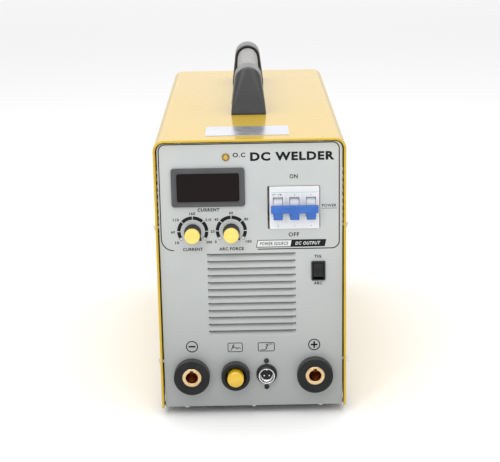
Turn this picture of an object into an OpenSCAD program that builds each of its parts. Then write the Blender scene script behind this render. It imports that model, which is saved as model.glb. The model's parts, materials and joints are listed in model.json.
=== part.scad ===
// Portable inverter welding machine for TIG and stick welding.
// Frame: +Z up, front panel towards -Y, X = 0 on the centreline, Z = 0 under the feet,
// Y = 0 halfway between the foremost and the rearmost point.

/* [Casing] */
// Outer width of the cover
cover_w = 205; // [170:1:250]
// Outer depth of the cover, front edge to rear edge
cover_d = 480; // [400:1:580]
// Height of the cover, without the feet and the handle
cover_h = 303; // [252:1:365]
// Thickness of the cover sheet
sheet = 1.2; // [0.9:0.1:1.6]
// Outer radius of the cover's top corners
corner_r = 12; // [10:1:16]
// Thickness of the hemmed front and rear edges
rim_w = 2.6; // [2.4:0.1:3.2]
// Length of each hem
rim_d = 14; // [12:1:17]
// Gap between a hem and the panel inside it
panel_gap = 1.4; // [1.0:0.1:1.7]
// How far the panels sit back from the cover's edges
recess = 4; // [3:0.5:6]
// Thickness of the front and rear panels and of the base pan
panel_t = 1.5; // [1.2:0.1:2.0]
// Height of the cover's lower edge above the ground
foot_h = 10; // [8:1:16]
// Largest radius of a rubber foot
foot_r = 12; // [10:1:14]

/* [Handle] */
// Height of the handle above the cover
handle_h = 52; // [50:1:64]
// Length of the handle along the cover
handle_len = 272; // [226:1:330]
// Distance from the cover's front edge to the handle
handle_back = 141; // [60:1:150]
// Width of a handle bracket at its base
bracket_w = 40; // [36:1:48]
// Length of a handle bracket at its base
bracket_len = 60; // [50:1:72]
// Radius of the collar that holds the grip
collar_r = 16; // [15.5:0.5:18]
// Radius of the grip tube
grip_r = 12.8; // [10.5:0.1:13.5]

/* [Controls] */
// Width of the ammeter bezel
bezel_w = 78.5; // [66:0.5:80]
// Height of the ammeter bezel
bezel_h = 42; // [38:0.5:44]
// Width of the ammeter window
window_w = 67; // [55:0.5:68]
// Height of the ammeter window
window_h = 31.2; // [26:0.2:32]
// Distance between the two dials
dial_pitch = 41.5; // [38:0.5:46]
// Radius of a knob at its foot
knob_r = 9.1; // [8.6:0.1:10.4]
// Height of a knob above the panel
knob_h = 19.5; // [17:0.5:22]
// Radius of a potentiometer shaft
pot_shaft_r = 3; // [2.5:0.1:3.2]
// Width of the three-pole breaker
breaker_w = 53.4; // [52.5:0.1:56]
// Height of the breaker's nose
breaker_h = 46.5; // [45:0.5:50]
// Distance between the breaker's poles
pole_pitch = 17.7; // [17.5:0.1:18]
// Width of the mode switch
mode_w = 15.2; // [15:0.2:18]
// Height of the mode switch
mode_h = 21.8; // [21.6:0.2:26]

/* [Connections] */
// Height of the row of connections above the cover's lower edge
row_z = 37.5; // [34:0.5:44]
// Outer radius of a welding socket
socket_r = 19.8; // [18.5:0.1:21]
// Radius of a welding socket's bore
socket_bore_r = 6.5; // [5:0.1:7]
// Depth of a welding socket's bore
socket_bore_l = 24; // [20:1:26]
// Outer radius of the gas outlet's ring
gas_ring_r = 15.9; // [14:0.1:17]
// Radius of the gas outlet's thread
gas_thread_r = 8; // [6.5:0.1:8.5]
// Radius of the torch switch socket's gasket
torch_ring_r = 11.5; // [11:0.1:12.5]
// Radius of the gas inlet's hose tail
inlet_r = 4; // [3.5:0.1:5]
// Radius of the mains cable that the gland takes
cable_r = 6.5; // [5:0.1:7.5]

/* [Ventilation] */
// Width of a front louvre
louvre_w = 95.5; // [80:0.5:100]
// Distance between louvres
louvre_pitch = 8; // [7.5:0.5:10]
// Size of the square fan
fan_size = 120; // [100:1:122]
// Depth of the fan
fan_d = 38; // [30:1:40]

/* [Hidden] */
$fn = 48;

// Clearances
fit_gap = 0.1;          // between a screw, bush or tube and its hole
run_gap = 0.05;         // radial, round a turning or sliding shaft
stand_gap = 0.4;        // between pieces that only stand side by side

// Places along Y
front_reach = knob_h - recess;
nozzle_out = 24;
rear_reach = nozzle_out - recess;
cover_y = (front_reach - cover_d - rear_reach) / 2;
rear_y = cover_y + cover_d;
front_face = cover_y + recess;
front_in = front_face + panel_t;
rear_face = rear_y - recess;
rear_in = rear_face - panel_t;

// Places along Z
base_z = foot_h;
top_z = base_z + cover_h;
floor_z = base_z + 2 * panel_t;
panel_w = cover_w - 2 * (rim_w + panel_gap);
panel_h = cover_h - rim_w - panel_gap;
panel_r = corner_r - rim_w - panel_gap;

// Front panel: the upper group hangs from the top edge
lamp_z = top_z - 19.5;
bezel_z = top_z - 52;
breaker_z = top_z - 75.5;
dial_z = top_z - 101;
bridge_z = top_z - 125;
louvre_z = top_z - 126;
mode_z = top_z - 147;
row_top = base_z + row_z + 51;
louvre_n = floor((louvre_z - row_top) / louvre_pitch) + 1;

// Front panel: what is left of the width is shared out between the pieces
upper_free = panel_w - bezel_w - breaker_w;
bezel_x = -panel_w / 2 + 0.22 * upper_free + bezel_w / 2;
breaker_x = panel_w / 2 - 0.38 * upper_free - breaker_w / 2;
dial_x = bezel_x + 3.1;
current_x = dial_x - dial_pitch / 2;
arc_force_x = dial_x + dial_pitch / 2;
lamp_x = bezel_x + bezel_w / 4;
mode_x = panel_w / 2 - mode_w / 2 - 18.5;
row_free = panel_w - 4 * socket_r - 2 * gas_ring_r - 2 * torch_ring_r;
negative_x = -panel_w / 2 + 0.17 * row_free + socket_r;
gas_x = negative_x + socket_r + 0.2 * row_free + gas_ring_r;
torch_x = gas_x + gas_ring_r + 0.11 * row_free + torch_ring_r;
positive_x = torch_x + torch_ring_r + 0.35 * row_free + socket_r;
row_y = base_z + row_z;

// Casing details
flange_d = 16;
flange_x = panel_w / 2 - panel_t;
screw_r = 2;
head_r = 3.6;
head_h = 2.2;
side_screw_y = 11;
side_screw_z = [52, cover_h - 97];
base_screw_x = panel_w / 2 - 24;
base_screw_y = 4.6;
foot_x = cover_w / 2 - 28;
foot_y = 62;
foot_recess = 5;
pan_w = cover_w - 2 * (rim_w + stand_gap);
pan_front = front_in + stand_gap;
pan_rear = rear_in - stand_gap;
pan_flange = 16;
pan_screw_y = [-cover_d / 6, cover_d / 6];
slot_l = 62;
slot_h = 3.2;
slot_pitch = 8;

// Handle details
bracket_y = [cover_y + handle_back, cover_y + handle_back + handle_len];
bracket_lean = 19;
bracket_foot = 3;
collar_len = bracket_len - bracket_lean + 2;
grip_depth = 22;
grip_z = top_z + handle_h - collar_r;
handle_screw_in = 16;
handle_screw_r = 2.5;

// Display details
bezel_out = 3;
bezel_wall = 2;
bezel_body_d = 22;
window_t = 2;
window_back = 1.6;
lamp_hole_r = 3.2;

// Knob details
knob_gap = 1;
cap_h = 4;
knob_front = front_face - knob_h;
bush_r = 4.5;
bush_out = 5;
pot_r = 11.5;
pot_d = 9;
pointer_r = 12.6;

// Breaker details
breaker_out = 2.5;
breaker_back = 3;
breaker_body_d = 44;
breaker_body_h = 82;
breaker_gap = 1.8;
toggle_y = front_face - breaker_out + 9;
toggle_z = breaker_z + 3;
toggle_w = 9.8;
toggle_slot = 13;
drum_r = 8.6;
pin_r = 2;

// Mode switch details
mode_out = 1.8;
mode_body_d = 18;
mode_open = [mode_w - 3.6, mode_h - 3.4];
rocker_y = front_face + 3.5;
rocker_tilt = 12;
rocker_pin_r = 1.5;

// Welding socket details
shell_out = 11;
contact_r = 10.5;
shell_tail_r = 14.8;
shell_tail_l = 24;
contact_l = 28;
stud_r = 4;
stud_l = 14;
key_w = 4;

// Gas outlet details
ring_out = 11;
ring_cavity_r = gas_thread_r + 2.8;
fitting_out = 10;
fitting_tail = 30;
hose_r = 5;
gas_bore_r = 3;
cap_wall = 1.05;
cap_out = 19.4;

// Torch switch socket details
torch_out = 8;
torch_shell_r = 9.3;
torch_cavity_r = 7.6;
torch_screw_z = 15.4;
torch_pin_x = 2.8;

// Inside
fan_x = -20;
fan_z = floor_z + 6 + fan_size / 2;
fan_front = rear_in - fan_d;
guard_out = 5;
sink_len = 150;
sink_w = 54;
sink_h = 45;
sink_rear = fan_front - 16;
sink_x = [-62, 0];
sink_z = floor_z + 3;
board_t = 1.6;
power_z = sink_z + sink_h + 18;
cap_r = 17;
cap_tall = 34;
core_len = 62;
core_rear = sink_rear - sink_len - 8;
lane_x = cover_w / 2 - 24.5;
lane_bend = 14;
lane_y = front_in + 72;
valve_l = 44;
valve_rear = rear_in - 6;
plunger_r = 4;
plunger_h = 22;
plunger_travel = 3;
gland_x = -60;
gland_z = top_z - 60;
stud_x = 58;
stud_z = top_z - 120;
bridge_front = front_in + 62;
bridge_rear = fan_front - 6;

// ---------------------------------------------------------------- shared forms

// Extrudes an XZ outline from y = 0 to y = t
module extrude_y(t) {
    translate([0, t, 0])
        rotate([90, 0, 0])
            linear_extrude(t)
                children();
}

// Extrudes a YZ outline from x = -w/2 to x = w/2
module extrude_x(w) {
    translate([-w / 2, 0, 0])
        rotate([90, 0, 90])
            linear_extrude(w)
                children();
}

// Round bar along +Y from y = 0
module rod_y(r, l) {
    rotate([-90, 0, 0])
        cylinder(r = r, h = l);
}

// Turns an outline of [radius, distance towards the front] about the Y axis
module turn_y(points) {
    rotate([90, 0, 0])
        rotate_extrude()
            polygon(points);
}

module rounded_rect(w, h, r) {
    square([w - 2 * r, h], center = true);
    square([w, h - 2 * r], center = true);
    for (sx = [-1, 1], sz = [-1, 1])
        translate([sx * (w / 2 - r), sz * (h / 2 - r)])
            circle(r);
}

// Outline that stands on its lower edge, with two round top corners
module arch_outline(w, h, r) {
    translate([-w / 2, 0])
        square([w, h - r]);
    translate([-w / 2 + r, 0])
        square([w - 2 * r, h]);
    for (s = [-1, 1])
        translate([s * (w / 2 - r), h - r])
            circle(r);
}

// Pan-head screw whose head stands towards -Z on the plane z = 0
module pan_screw(r, hr, hh, l) {
    cylinder(r = r, h = l);
    translate([0, 0, -hh])
        cylinder(r1 = hr - 0.8, r2 = hr, h = hh / 2);
    translate([0, 0, -hh / 2])
        cylinder(r = hr, h = hh / 2);
}

// Pan-head screw with a cross recess
module cross_screw(r, hr, hh, l) {
    difference() {
        pan_screw(r, hr, hh, l);
        for (a = [0, 90])
            rotate([0, 0, a])
                translate([-hr * 0.6, -0.4, -hh - 1])
                    cube([hr * 1.2, 0.8, hh * 0.6 + 1]);
    }
}

// ---------------------------------------------------------------- casing

// Places a child at each screw through a cover side, its +Z pointing into the machine
module at_side_screws() {
    for (s = [-1, 1]) {
        for (y = [cover_y + side_screw_y, rear_y - side_screw_y], z = side_screw_z)
            translate([s * cover_w / 2, y, base_z + z])
                rotate([0, -s * 90, 0])
                    children();
        for (y = pan_screw_y)
            translate([s * cover_w / 2, y, base_z + pan_flange / 2 + panel_t])
                rotate([0, -s * 90, 0])
                    children();
    }
}

// Places a child at each screw up through a panel's bottom flange
module at_base_screws() {
    for (x = [-base_screw_x, 0, base_screw_x], y = [front_face + base_screw_y, rear_face - base_screw_y])
        translate([x, y, base_z])
            children();
}

module at_feet() {
    for (x = [-foot_x, foot_x], y = [cover_y + foot_y, rear_y - foot_y])
        translate([x, y, 0])
            children();
}

module base_pan() {
    color("dimgray")
        difference() {
            union() {
                translate([-pan_w / 2, pan_front, base_z + panel_t])
                    cube([pan_w, pan_rear - pan_front, panel_t]);
                for (s = [-1, 1])
                    translate([s * (pan_w - panel_t) / 2 - panel_t / 2, pan_front + flange_d, base_z + panel_t])
                        cube([panel_t, pan_rear - pan_front - 2 * flange_d, pan_flange]);
                for (x = [-base_screw_x, 0, base_screw_x], y = [pan_front, pan_rear - 9])
                    translate([x - 6, y, base_z + 2 * panel_t - 0.5])
                        cube([12, 9, 3]);
            }
            at_base_screws()
                cylinder(r = screw_r + fit_gap, h = 12);
            at_feet()
                cylinder(r = screw_r + fit_gap, h = 40);
            at_side_screws()
                cylinder(r = screw_r + fit_gap, h = 6);
        }
}

// Flat sheet panel with a bottom flange and two side flanges, seen from its outer face at y = 0
module panel_blank() {
    extrude_y(panel_t)
        arch_outline(panel_w, panel_h, panel_r);
    translate([-flange_x, 0, 0])
        cube([2 * flange_x, flange_d, panel_t]);
    for (s = [-1, 1])
        translate([s * (panel_w - panel_t) / 2 - panel_t / 2, 0, pan_flange + 8])
            cube([panel_t, flange_d, panel_h - panel_r - pan_flange - 10]);
}

// One louvre: the strip under the slit leans inwards, between two cheeks
module louvre_strip() {
    lean = 3.2;
    strip_h = louvre_pitch - 2.6;
    strip_t = 1.1;
    extrude_x(louvre_w)
        polygon([[0, -louvre_pitch + 1], [strip_t, -louvre_pitch + 1], [lean + strip_t, -louvre_pitch + 1 + strip_h],
            [lean, -louvre_pitch + 1 + strip_h]]);
    for (s = [-1, 1])
        translate([s * (louvre_w - strip_t) / 2, 0, 0])
            extrude_x(strip_t)
                polygon([[0.5, -louvre_pitch + 1], [strip_t, -louvre_pitch + 1], [lean + strip_t, -1.6], [0.5, -1.6]]);
}

module front_panel() {
    color("lightgray")
        difference() {
            union() {
                difference() {
                    translate([0, front_face, base_z])
                        panel_blank();
                    for (i = [0 : louvre_n - 1])
                        translate([-louvre_w / 2, front_face - 1, louvre_z - (i + 1) * louvre_pitch + 1])
                            cube([louvre_w, panel_t + 2, louvre_pitch - 1]);
                }
                for (i = [0 : louvre_n - 1])
                    translate([0, front_face, louvre_z - i * louvre_pitch])
                        louvre_strip();
            }
            translate([bezel_x, front_face - 1, bezel_z])
                extrude_y(panel_t + 2)
                    rounded_rect(bezel_w - 2 * bezel_wall + 2 * fit_gap, bezel_h - 2 * bezel_wall + 2 * fit_gap, 1.5);
            translate([breaker_x - breaker_w / 2 - breaker_gap, front_face - 1, breaker_z - breaker_h / 2 - stand_gap])
                cube([breaker_w + breaker_gap + stand_gap, panel_t + 2, breaker_h + 2 * stand_gap]);
            translate([mode_x, front_face - 1, mode_z])
                extrude_y(panel_t + 2)
                    square([mode_w - 2, mode_h - 2], center = true);
            for (x = [current_x, arc_force_x])
                translate([x, front_face - 1, dial_z])
                    rod_y(bush_r + fit_gap, panel_t + 2);
            translate([lamp_x, front_face - 1, lamp_z])
                rod_y(lamp_hole_r + fit_gap, panel_t + 2);
            for (x = [negative_x, positive_x])
                translate([x, front_face - 1, row_y])
                    rod_y(shell_tail_r + fit_gap, panel_t + 2);
            translate([gas_x, front_face - 1, row_y])
                rod_y(gas_thread_r + fit_gap, panel_t + 2);
            translate([torch_x, front_face - 1, row_y])
                rod_y(torch_shell_r + fit_gap, panel_t + 2);
            for (s = [-1, 1])
                translate([torch_x, front_face - 1, row_y + s * torch_screw_z])
                    rod_y(1.5 + fit_gap, panel_t + 2);
            at_base_screws()
                cylinder(r = screw_r + fit_gap, h = 6);
            at_side_screws()
                cylinder(r = screw_r + fit_gap, h = 7);
        }
}

module rear_panel() {
    color("lightgray")
        difference() {
            translate([0, rear_face, base_z])
                mirror([0, 1, 0])
                    panel_blank();
            translate([fan_x, rear_in - 1, fan_z])
                rod_y(fan_size / 2 - 3, panel_t + 2);
            for (sx = [-1, 1], sz = [-1, 1])
                translate([fan_x + sx * (fan_size / 2 - 7.5), rear_in - 1, fan_z + sz * (fan_size / 2 - 7.5)])
                    rod_y(screw_r + fit_gap, panel_t + 2);
            translate([lane_x, rear_in - 1, row_y])
                rod_y(inlet_r + 2 + fit_gap, panel_t + 2);
            translate([gland_x, rear_in - 1, gland_z])
                rod_y(cable_r + 3.5 + fit_gap, panel_t + 2);
            translate([stud_x, rear_in - 1, stud_z])
                rod_y(3 + fit_gap, panel_t + 2);
            at_base_screws()
                cylinder(r = screw_r + fit_gap, h = 6);
            at_side_screws()
                cylinder(r = screw_r + fit_gap, h = 7);
        }
}

// One vertical block of ventilation slots through both sides of the cover
module side_slots(y, z, n) {
    for (i = [0 : n - 1])
        translate([-cover_w / 2 - 1, y, z + i * slot_pitch])
            cube([cover_w + 2, slot_l, slot_h]);
}

module cover() {
    color("gold")
        difference() {
            translate([0, cover_y, base_z])
                extrude_y(cover_d)
                    arch_outline(cover_w, cover_h, corner_r);
            translate([0, cover_y - 1, base_z - 1])
                extrude_y(cover_d + 2)
                    arch_outline(cover_w - 2 * rim_w, cover_h - rim_w + 1, corner_r - rim_w);
            translate([0, cover_y + rim_d, base_z - 1])
                extrude_y(cover_d - 2 * rim_d)
                    arch_outline(cover_w - 2 * sheet, cover_h - sheet + 1, corner_r - sheet);
            side_slots(cover_y + 26, top_z - 100, 8);
            side_slots(-slot_l / 2, base_z + 50, 9);
            side_slots(rear_y - 26 - slot_l, base_z + 50, 9);
            at_side_screws()
                translate([0, 0, -1])
                    cylinder(r = screw_r + 2 * fit_gap, h = 6);
            at_handle_screws()
                cylinder(r = handle_screw_r + fit_gap, h = 6, center = true);
        }
}

module bridge_plate() {
    leg_x = panel_w / 2 - 5;
    color("silver") {
        translate([-leg_x, bridge_front, bridge_z - panel_t])
            cube([2 * leg_x, bridge_rear - bridge_front, panel_t]);
        for (s = [-1, 1], y = [bridge_front, bridge_rear - 60])
            translate([s * (leg_x - panel_t / 2) - panel_t / 2, y, floor_z])
                cube([panel_t, 60, bridge_z - floor_z - panel_t / 2]);
    }
}

module rubber_feet() {
    color("black")
        difference() {
            at_feet()
                cylinder(r1 = foot_r - 2, r2 = foot_r, h = base_z + panel_t);
            at_feet()
                translate([0, 0, -1])
                    cylinder(r = 5, h = foot_recess + 1);
            at_feet()
                cylinder(r = screw_r + fit_gap, h = 20);
        }
}

module foot_screws() {
    color("silver")
        at_feet()
            translate([0, 0, foot_recess])
                pan_screw(screw_r, head_r, head_h, floor_z + 1 - foot_recess);
}

module cover_screws() {
    color("silver")
        at_side_screws()
            cross_screw(screw_r, head_r, head_h, 9);
}

module base_screws() {
    color("silver")
        at_base_screws()
            cross_screw(screw_r, 3.2, head_h, 6);
}

// ---------------------------------------------------------------- handle

module at_handle_screws() {
    for (i = [0, 1], d = [handle_screw_in, bracket_len - handle_screw_in])
        translate([0, bracket_y[i] + (1 - 2 * i) * d, top_z])
            children();
}

// Bracket whose outer foot edge is on y = 0 and whose collar opens towards +Y
module handle_bracket() {
    collar_z = handle_h - collar_r;
    difference() {
        hull() {
            translate([0, bracket_len / 2, bracket_foot / 2])
                cube([bracket_w, bracket_len, bracket_foot], center = true);
            translate([0, bracket_lean + 3, collar_z])
                rod_y(collar_r - 1.6, 1, $fn = 32);
            translate([0, bracket_lean + 6, collar_z])
                rod_y(collar_r, collar_len - 6, $fn = 32);
        }
        translate([0, bracket_lean + collar_len - grip_depth, collar_z])
            rod_y(grip_r + fit_gap, grip_depth + 1);
        for (d = [handle_screw_in, bracket_len - handle_screw_in])
            translate([0, d, -1])
                cylinder(r = handle_screw_r + fit_gap, h = 16);
    }
}

module handle_front_bracket() {
    color("#222222")
        translate([0, bracket_y[0], top_z])
            handle_bracket();
}

module handle_rear_bracket() {
    color("#222222")
        translate([0, bracket_y[1], top_z])
            mirror([0, 1, 0])
                handle_bracket();
}

module handle_grip() {
    start = bracket_lean + collar_len - grip_depth + fit_gap;
    length = handle_len - 2 * start;
    color("#222222")
        translate([0, bracket_y[0] + start, grip_z])
            difference() {
                rod_y(grip_r, length);
                translate([0, -1, 0])
                    rod_y(grip_r - 3, length + 2);
            }
}

module handle_screws() {
    color("silver")
        at_handle_screws()
            translate([0, 0, -sheet])
                pan_screw(handle_screw_r, 4.6, 2.6, 14);
}

module rating_plate() {
    plate_w = 90;
    plate_l = 50;
    color("gainsboro")
        translate([-2, cover_y + 21 + plate_l / 2, top_z])
            linear_extrude(0.5)
                rounded_rect(plate_w, plate_l, 2);
}

// ---------------------------------------------------------------- display and dials

module display_bezel() {
    color("#333333")
        translate([bezel_x, 0, bezel_z])
            difference() {
                union() {
                    translate([0, front_face - bezel_out, 0])
                        extrude_y(bezel_out)
                            rounded_rect(bezel_w, bezel_h, 3);
                    translate([0, front_face - 0.5, 0])
                        extrude_y(bezel_body_d)
                            rounded_rect(bezel_w - 2 * bezel_wall, bezel_h - 2 * bezel_wall, 1.5);
                }
                translate([0, front_face - bezel_out - 1, 0])
                    extrude_y(window_back + 2)
                        square([window_w, window_h], center = true);
                translate([0, front_face - bezel_out + window_back, 0])
                    extrude_y(bezel_body_d + 2)
                        square([window_w + 2, window_h + 2], center = true);
            }
}

module display_window() {
    color("#301014")
        translate([bezel_x, front_face - bezel_out + window_back + fit_gap, bezel_z])
            extrude_y(window_t)
                square([window_w + 1.8, window_h + 1.8], center = true);
}

module display_board() {
    digit_w = 12.4;
    digit_h = 19;
    digit_d = 8;
    board_y = front_face + bezel_out + digit_d + 2;
    color("darkgreen")
        translate([bezel_x, board_y, bezel_z])
            extrude_y(board_t)
                square([window_w - 2, window_h - 1], center = true);
    color("#202020")
        for (i = [-1 : 1])
            translate([bezel_x + i * (digit_w + 0.6), board_y - digit_d, bezel_z])
                extrude_y(digit_d + 0.5)
                    square([digit_w, digit_h], center = true);
}

module lamp_holder() {
    color("darkgoldenrod")
        translate([lamp_x, front_face, lamp_z])
            turn_y([[2.6, -9], [lamp_hole_r, -9], [lamp_hole_r, 0], [4.1, 0], [4.1, 0.7], [3.6, 1.4], [2.6, 1.4]]);
}

module overcurrent_lamp() {
    color("orange")
        translate([lamp_x, front_face, lamp_z])
            intersection() {
                translate([0, -2.4, 0])
                    rod_y(2.5, 11);
                translate([0, 1.8, 0])
                    sphere(r = 4.2);
            }
}

module knob_body() {
    skirt = knob_gap;
    body_l = knob_h - knob_gap - cap_h;
    difference() {
        union() {
            rotate([90, 0, 0])
                translate([0, 0, skirt])
                    cylinder(r1 = knob_r, r2 = knob_r - 0.5, h = body_l);
            rotate([0, 45, 0])
                translate([0, -skirt - 2.2, 0])
                    extrude_y(2.2)
                        polygon([[knob_r - 2, -2.6], [pointer_r, 0], [knob_r - 2, 2.6]]);
        }
        translate([0, -skirt - 4.5, 0])
            rod_y(7.1, 5);
        translate([0, -knob_gap - body_l + 2, 0])
            rod_y(pot_shaft_r + 0.03, body_l);
    }
}

module knob_cap() {
    r = knob_r - 0.9;
    body_front = knob_h - cap_h + fit_gap;
    turn_y([[0, body_front], [r, body_front], [r, knob_h - 1.2], [r - 1.2, knob_h - 0.2], [r - 3, knob_h], [0, knob_h]]);
}

module potentiometer() {
    difference() {
        union() {
            translate([0, panel_t + fit_gap, 0])
                rod_y(pot_r, pot_d);
            translate([0, -bush_out, 0])
                rod_y(bush_r, bush_out + panel_t + 1);
            for (x = [-5, 0, 5])
                translate([x - 1, panel_t + 3, -pot_r - 6])
                    cube([2, 1, 8]);
        }
        translate([0, -bush_out - 1, 0])
            rod_y(pot_shaft_r + run_gap, bush_out + panel_t + 7);
    }
}

module pot_shaft() {
    front = knob_h - cap_h - 3;
    translate([0, -front, 0])
        rod_y(pot_shaft_r, front + panel_t + 5.5);
}

module at_current_dial() {
    translate([current_x, front_face, dial_z])
        children();
}

module at_arc_force_dial() {
    translate([arc_force_x, front_face, dial_z])
        children();
}

module current_knob() {
    color("#2a2a2a")
        at_current_dial()
            knob_body();
}

module current_knob_cap() {
    color("khaki")
        at_current_dial()
            knob_cap();
}

module current_potentiometer() {
    color("darkgray")
        at_current_dial()
            potentiometer();
}

module current_shaft() {
    color("silver")
        at_current_dial()
            pot_shaft();
}

module arc_force_knob() {
    color("#2a2a2a")
        at_arc_force_dial()
            knob_body();
}

module arc_force_knob_cap() {
    color("khaki")
        at_arc_force_dial()
            knob_cap();
}

module arc_force_potentiometer() {
    color("darkgray")
        at_arc_force_dial()
            potentiometer();
}

module arc_force_shaft() {
    color("silver")
        at_arc_force_dial()
            pot_shaft();
}

module dial_nuts() {
    nut_t = 2.2;
    color("silver")
        for (x = [current_x, arc_force_x])
            translate([x, front_face - nut_t - fit_gap, dial_z])
                difference() {
                    rotate([-90, 0, 0])
                        cylinder(r = 6.3, h = nut_t, $fn = 6);
                    translate([0, -1, 0])
                        rod_y(bush_r + fit_gap, nut_t + 2);
                }
}

// ---------------------------------------------------------------- breaker and mode switch

module breaker_body() {
    nose_y = front_face - breaker_out;
    body_y = front_in + breaker_back;
    color("white")
        difference() {
            union() {
                translate([breaker_x - breaker_w / 2, nose_y, breaker_z - breaker_h / 2])
                    cube([breaker_w, body_y - nose_y + 1, breaker_h]);
                translate([breaker_x - breaker_w / 2, body_y, breaker_z - breaker_body_h / 2])
                    cube([breaker_w, breaker_body_d, breaker_body_h]);
            }
            for (i = [-1 : 1])
                translate([breaker_x + i * pole_pitch, toggle_y, toggle_z]) {
                    rotate([0, 90, 0])
                        cylinder(r = drum_r + stand_gap, h = toggle_w + 2 * stand_gap, center = true);
                    translate([-toggle_w / 2 - stand_gap, -14, -toggle_slot])
                        cube([toggle_w + 2 * stand_gap, 12, 2 * toggle_slot]);
                }
            translate([breaker_x, toggle_y, toggle_z])
                rotate([0, 90, 0])
                    cylinder(r = pin_r + run_gap, h = breaker_w - 4, center = true);
        }
}

// Three levers on one pin, joined by a tie bar, resting down in the off position
module breaker_handle() {
    color("royalblue")
        translate([breaker_x, toggle_y, toggle_z]) {
            for (i = [-1 : 1])
                translate([i * pole_pitch, 0, 0]) {
                    rotate([0, 90, 0])
                        cylinder(r = drum_r, h = toggle_w, center = true);
                    extrude_x(toggle_w)
                        polygon([[-5, 3], [-17.5, 1], [-21, -6.5], [-15.5, -15], [-11, -14.5], [-3, -6]]);
                }
            extrude_x(2 * pole_pitch + toggle_w + 5.4)
                polygon([[-15, 1.5], [-20, 1.5], [-21, 0.5], [-21, -6.5], [-15, -6.5]]);
            rotate([0, 90, 0])
                cylinder(r = pin_r, h = breaker_w - 6, center = true);
        }
}

module breaker_rail() {
    rail_y = front_in + breaker_back + breaker_body_d + fit_gap;
    rail_w = breaker_w + 20;
    rail_t = 1.2;
    color("silver") {
        translate([breaker_x - rail_w / 2, rail_y, breaker_z - 17.5])
            cube([rail_w, rail_t, 35]);
        for (x = [-rail_w / 2, rail_w / 2 - 12])
            translate([breaker_x + x, rail_y, bridge_z])
                cube([12, rail_t, breaker_z - bridge_z]);
        translate([breaker_x - rail_w / 2, rail_y, bridge_z])
            cube([rail_w, 14, rail_t]);
    }
}

module mode_switch_housing() {
    color("#1c1c1c")
        translate([mode_x, 0, mode_z])
            difference() {
                union() {
                    translate([0, front_face - mode_out, 0])
                        extrude_y(mode_out)
                            rounded_rect(mode_w, mode_h, 1.2);
                    translate([0, front_face - 0.5, 0])
                        extrude_y(mode_body_d)
                            square([mode_w - 2 - 2 * fit_gap, mode_h - 2 - 2 * fit_gap], center = true);
                    for (z = [-6, 0, 6])
                        translate([-2.4, front_face + mode_body_d - 1, z - 0.4])
                            cube([4.8, 9, 0.8]);
                }
                translate([0, front_face - mode_out - 1, 0])
                    extrude_y(mode_body_d - 2)
                        square(mode_open, center = true);
                translate([0, rocker_y, 0])
                    rotate([0, 90, 0])
                        cylinder(r = rocker_pin_r + run_gap, h = mode_open[0] + 1.6, center = true);
            }
}

// Rocker resting with its upper end pressed in
module mode_switch_rocker() {
    color("#242424")
        translate([mode_x, rocker_y, mode_z])
            rotate([-rocker_tilt, 0, 0]) {
                extrude_x(mode_open[0] - 2 * stand_gap)
                    polygon([[-6.5, 7.6], [-5.4, 3.6], [-5, 0], [-5.4, -3.6], [-6.5, -7.6], [-0.5, -7.2], [4, -2], [4, 2],
                        [-0.5, 7.2]]);
                rotate([0, 90, 0])
                    cylinder(r = rocker_pin_r, h = mode_open[0] + 1, center = true);
            }
}

// ---------------------------------------------------------------- connections

module socket_shell() {
    r = contact_r + fit_gap;
    turn_y([[r, 9.5], [13.5, 9.5], [socket_r - 2.6, shell_out], [socket_r - 0.6, shell_out],
        [socket_r, shell_out - 0.6], [socket_r, 0], [shell_tail_r, 0], [shell_tail_r, -shell_tail_l], [r, -shell_tail_l]]);
}

module socket_contact() {
    difference() {
        union() {
            translate([0, -9.9, 0])
                rod_y(contact_r, 9.9 + contact_l);
            translate([0, contact_l - 1, 0])
                rod_y(stud_r, stud_l + 1);
        }
        translate([0, -11, 0])
            rod_y(socket_bore_r, 1.1 + socket_bore_l);
        translate([-key_w / 2, -11, 0])
            cube([key_w, 9, socket_bore_r + 2]);
    }
}

module at_negative() {
    translate([negative_x, front_face, row_y])
        children();
}

module at_positive() {
    translate([positive_x, front_face, row_y])
        children();
}

module negative_socket_shell() {
    color("#1e1e1e")
        at_negative()
            socket_shell();
}

module negative_socket_contact() {
    color("goldenrod")
        at_negative()
            socket_contact();
}

module positive_socket_shell() {
    color("#1e1e1e")
        at_positive()
            socket_shell();
}

module positive_socket_contact() {
    color("goldenrod")
        at_positive()
            socket_contact();
}

// Ring nut behind the panel and stud nut with its washer, for each socket
module socket_nuts() {
    color("silver")
        for (x = [negative_x, positive_x])
            translate([x, front_in + fit_gap, row_y]) {
                difference() {
                    rotate([-90, 0, 0])
                        cylinder(r = shell_tail_r + 4, h = 6, $fn = 6);
                    translate([0, -1, 0])
                        rod_y(shell_tail_r + fit_gap, 8);
                }
                translate([0, contact_l + 2, 0])
                    difference() {
                        rotate([-90, 0, 0])
                            cylinder(r = 7.5, h = 6.5, $fn = 6);
                        translate([0, -1, 0])
                            rod_y(stud_r + fit_gap, 9);
                    }
            }
}

module gas_outlet_ring() {
    color("#1e1e1e")
        translate([gas_x, front_face, row_y])
            turn_y([[gas_thread_r + fit_gap, 0], [gas_thread_r + fit_gap, 2.5], [ring_cavity_r, 2.5],
                [ring_cavity_r, 8.5], [ring_cavity_r + 1.2, ring_out], [gas_ring_r - 1, ring_out],
                [gas_ring_r, ring_out - 1], [gas_ring_r, 0]]);
}

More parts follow.
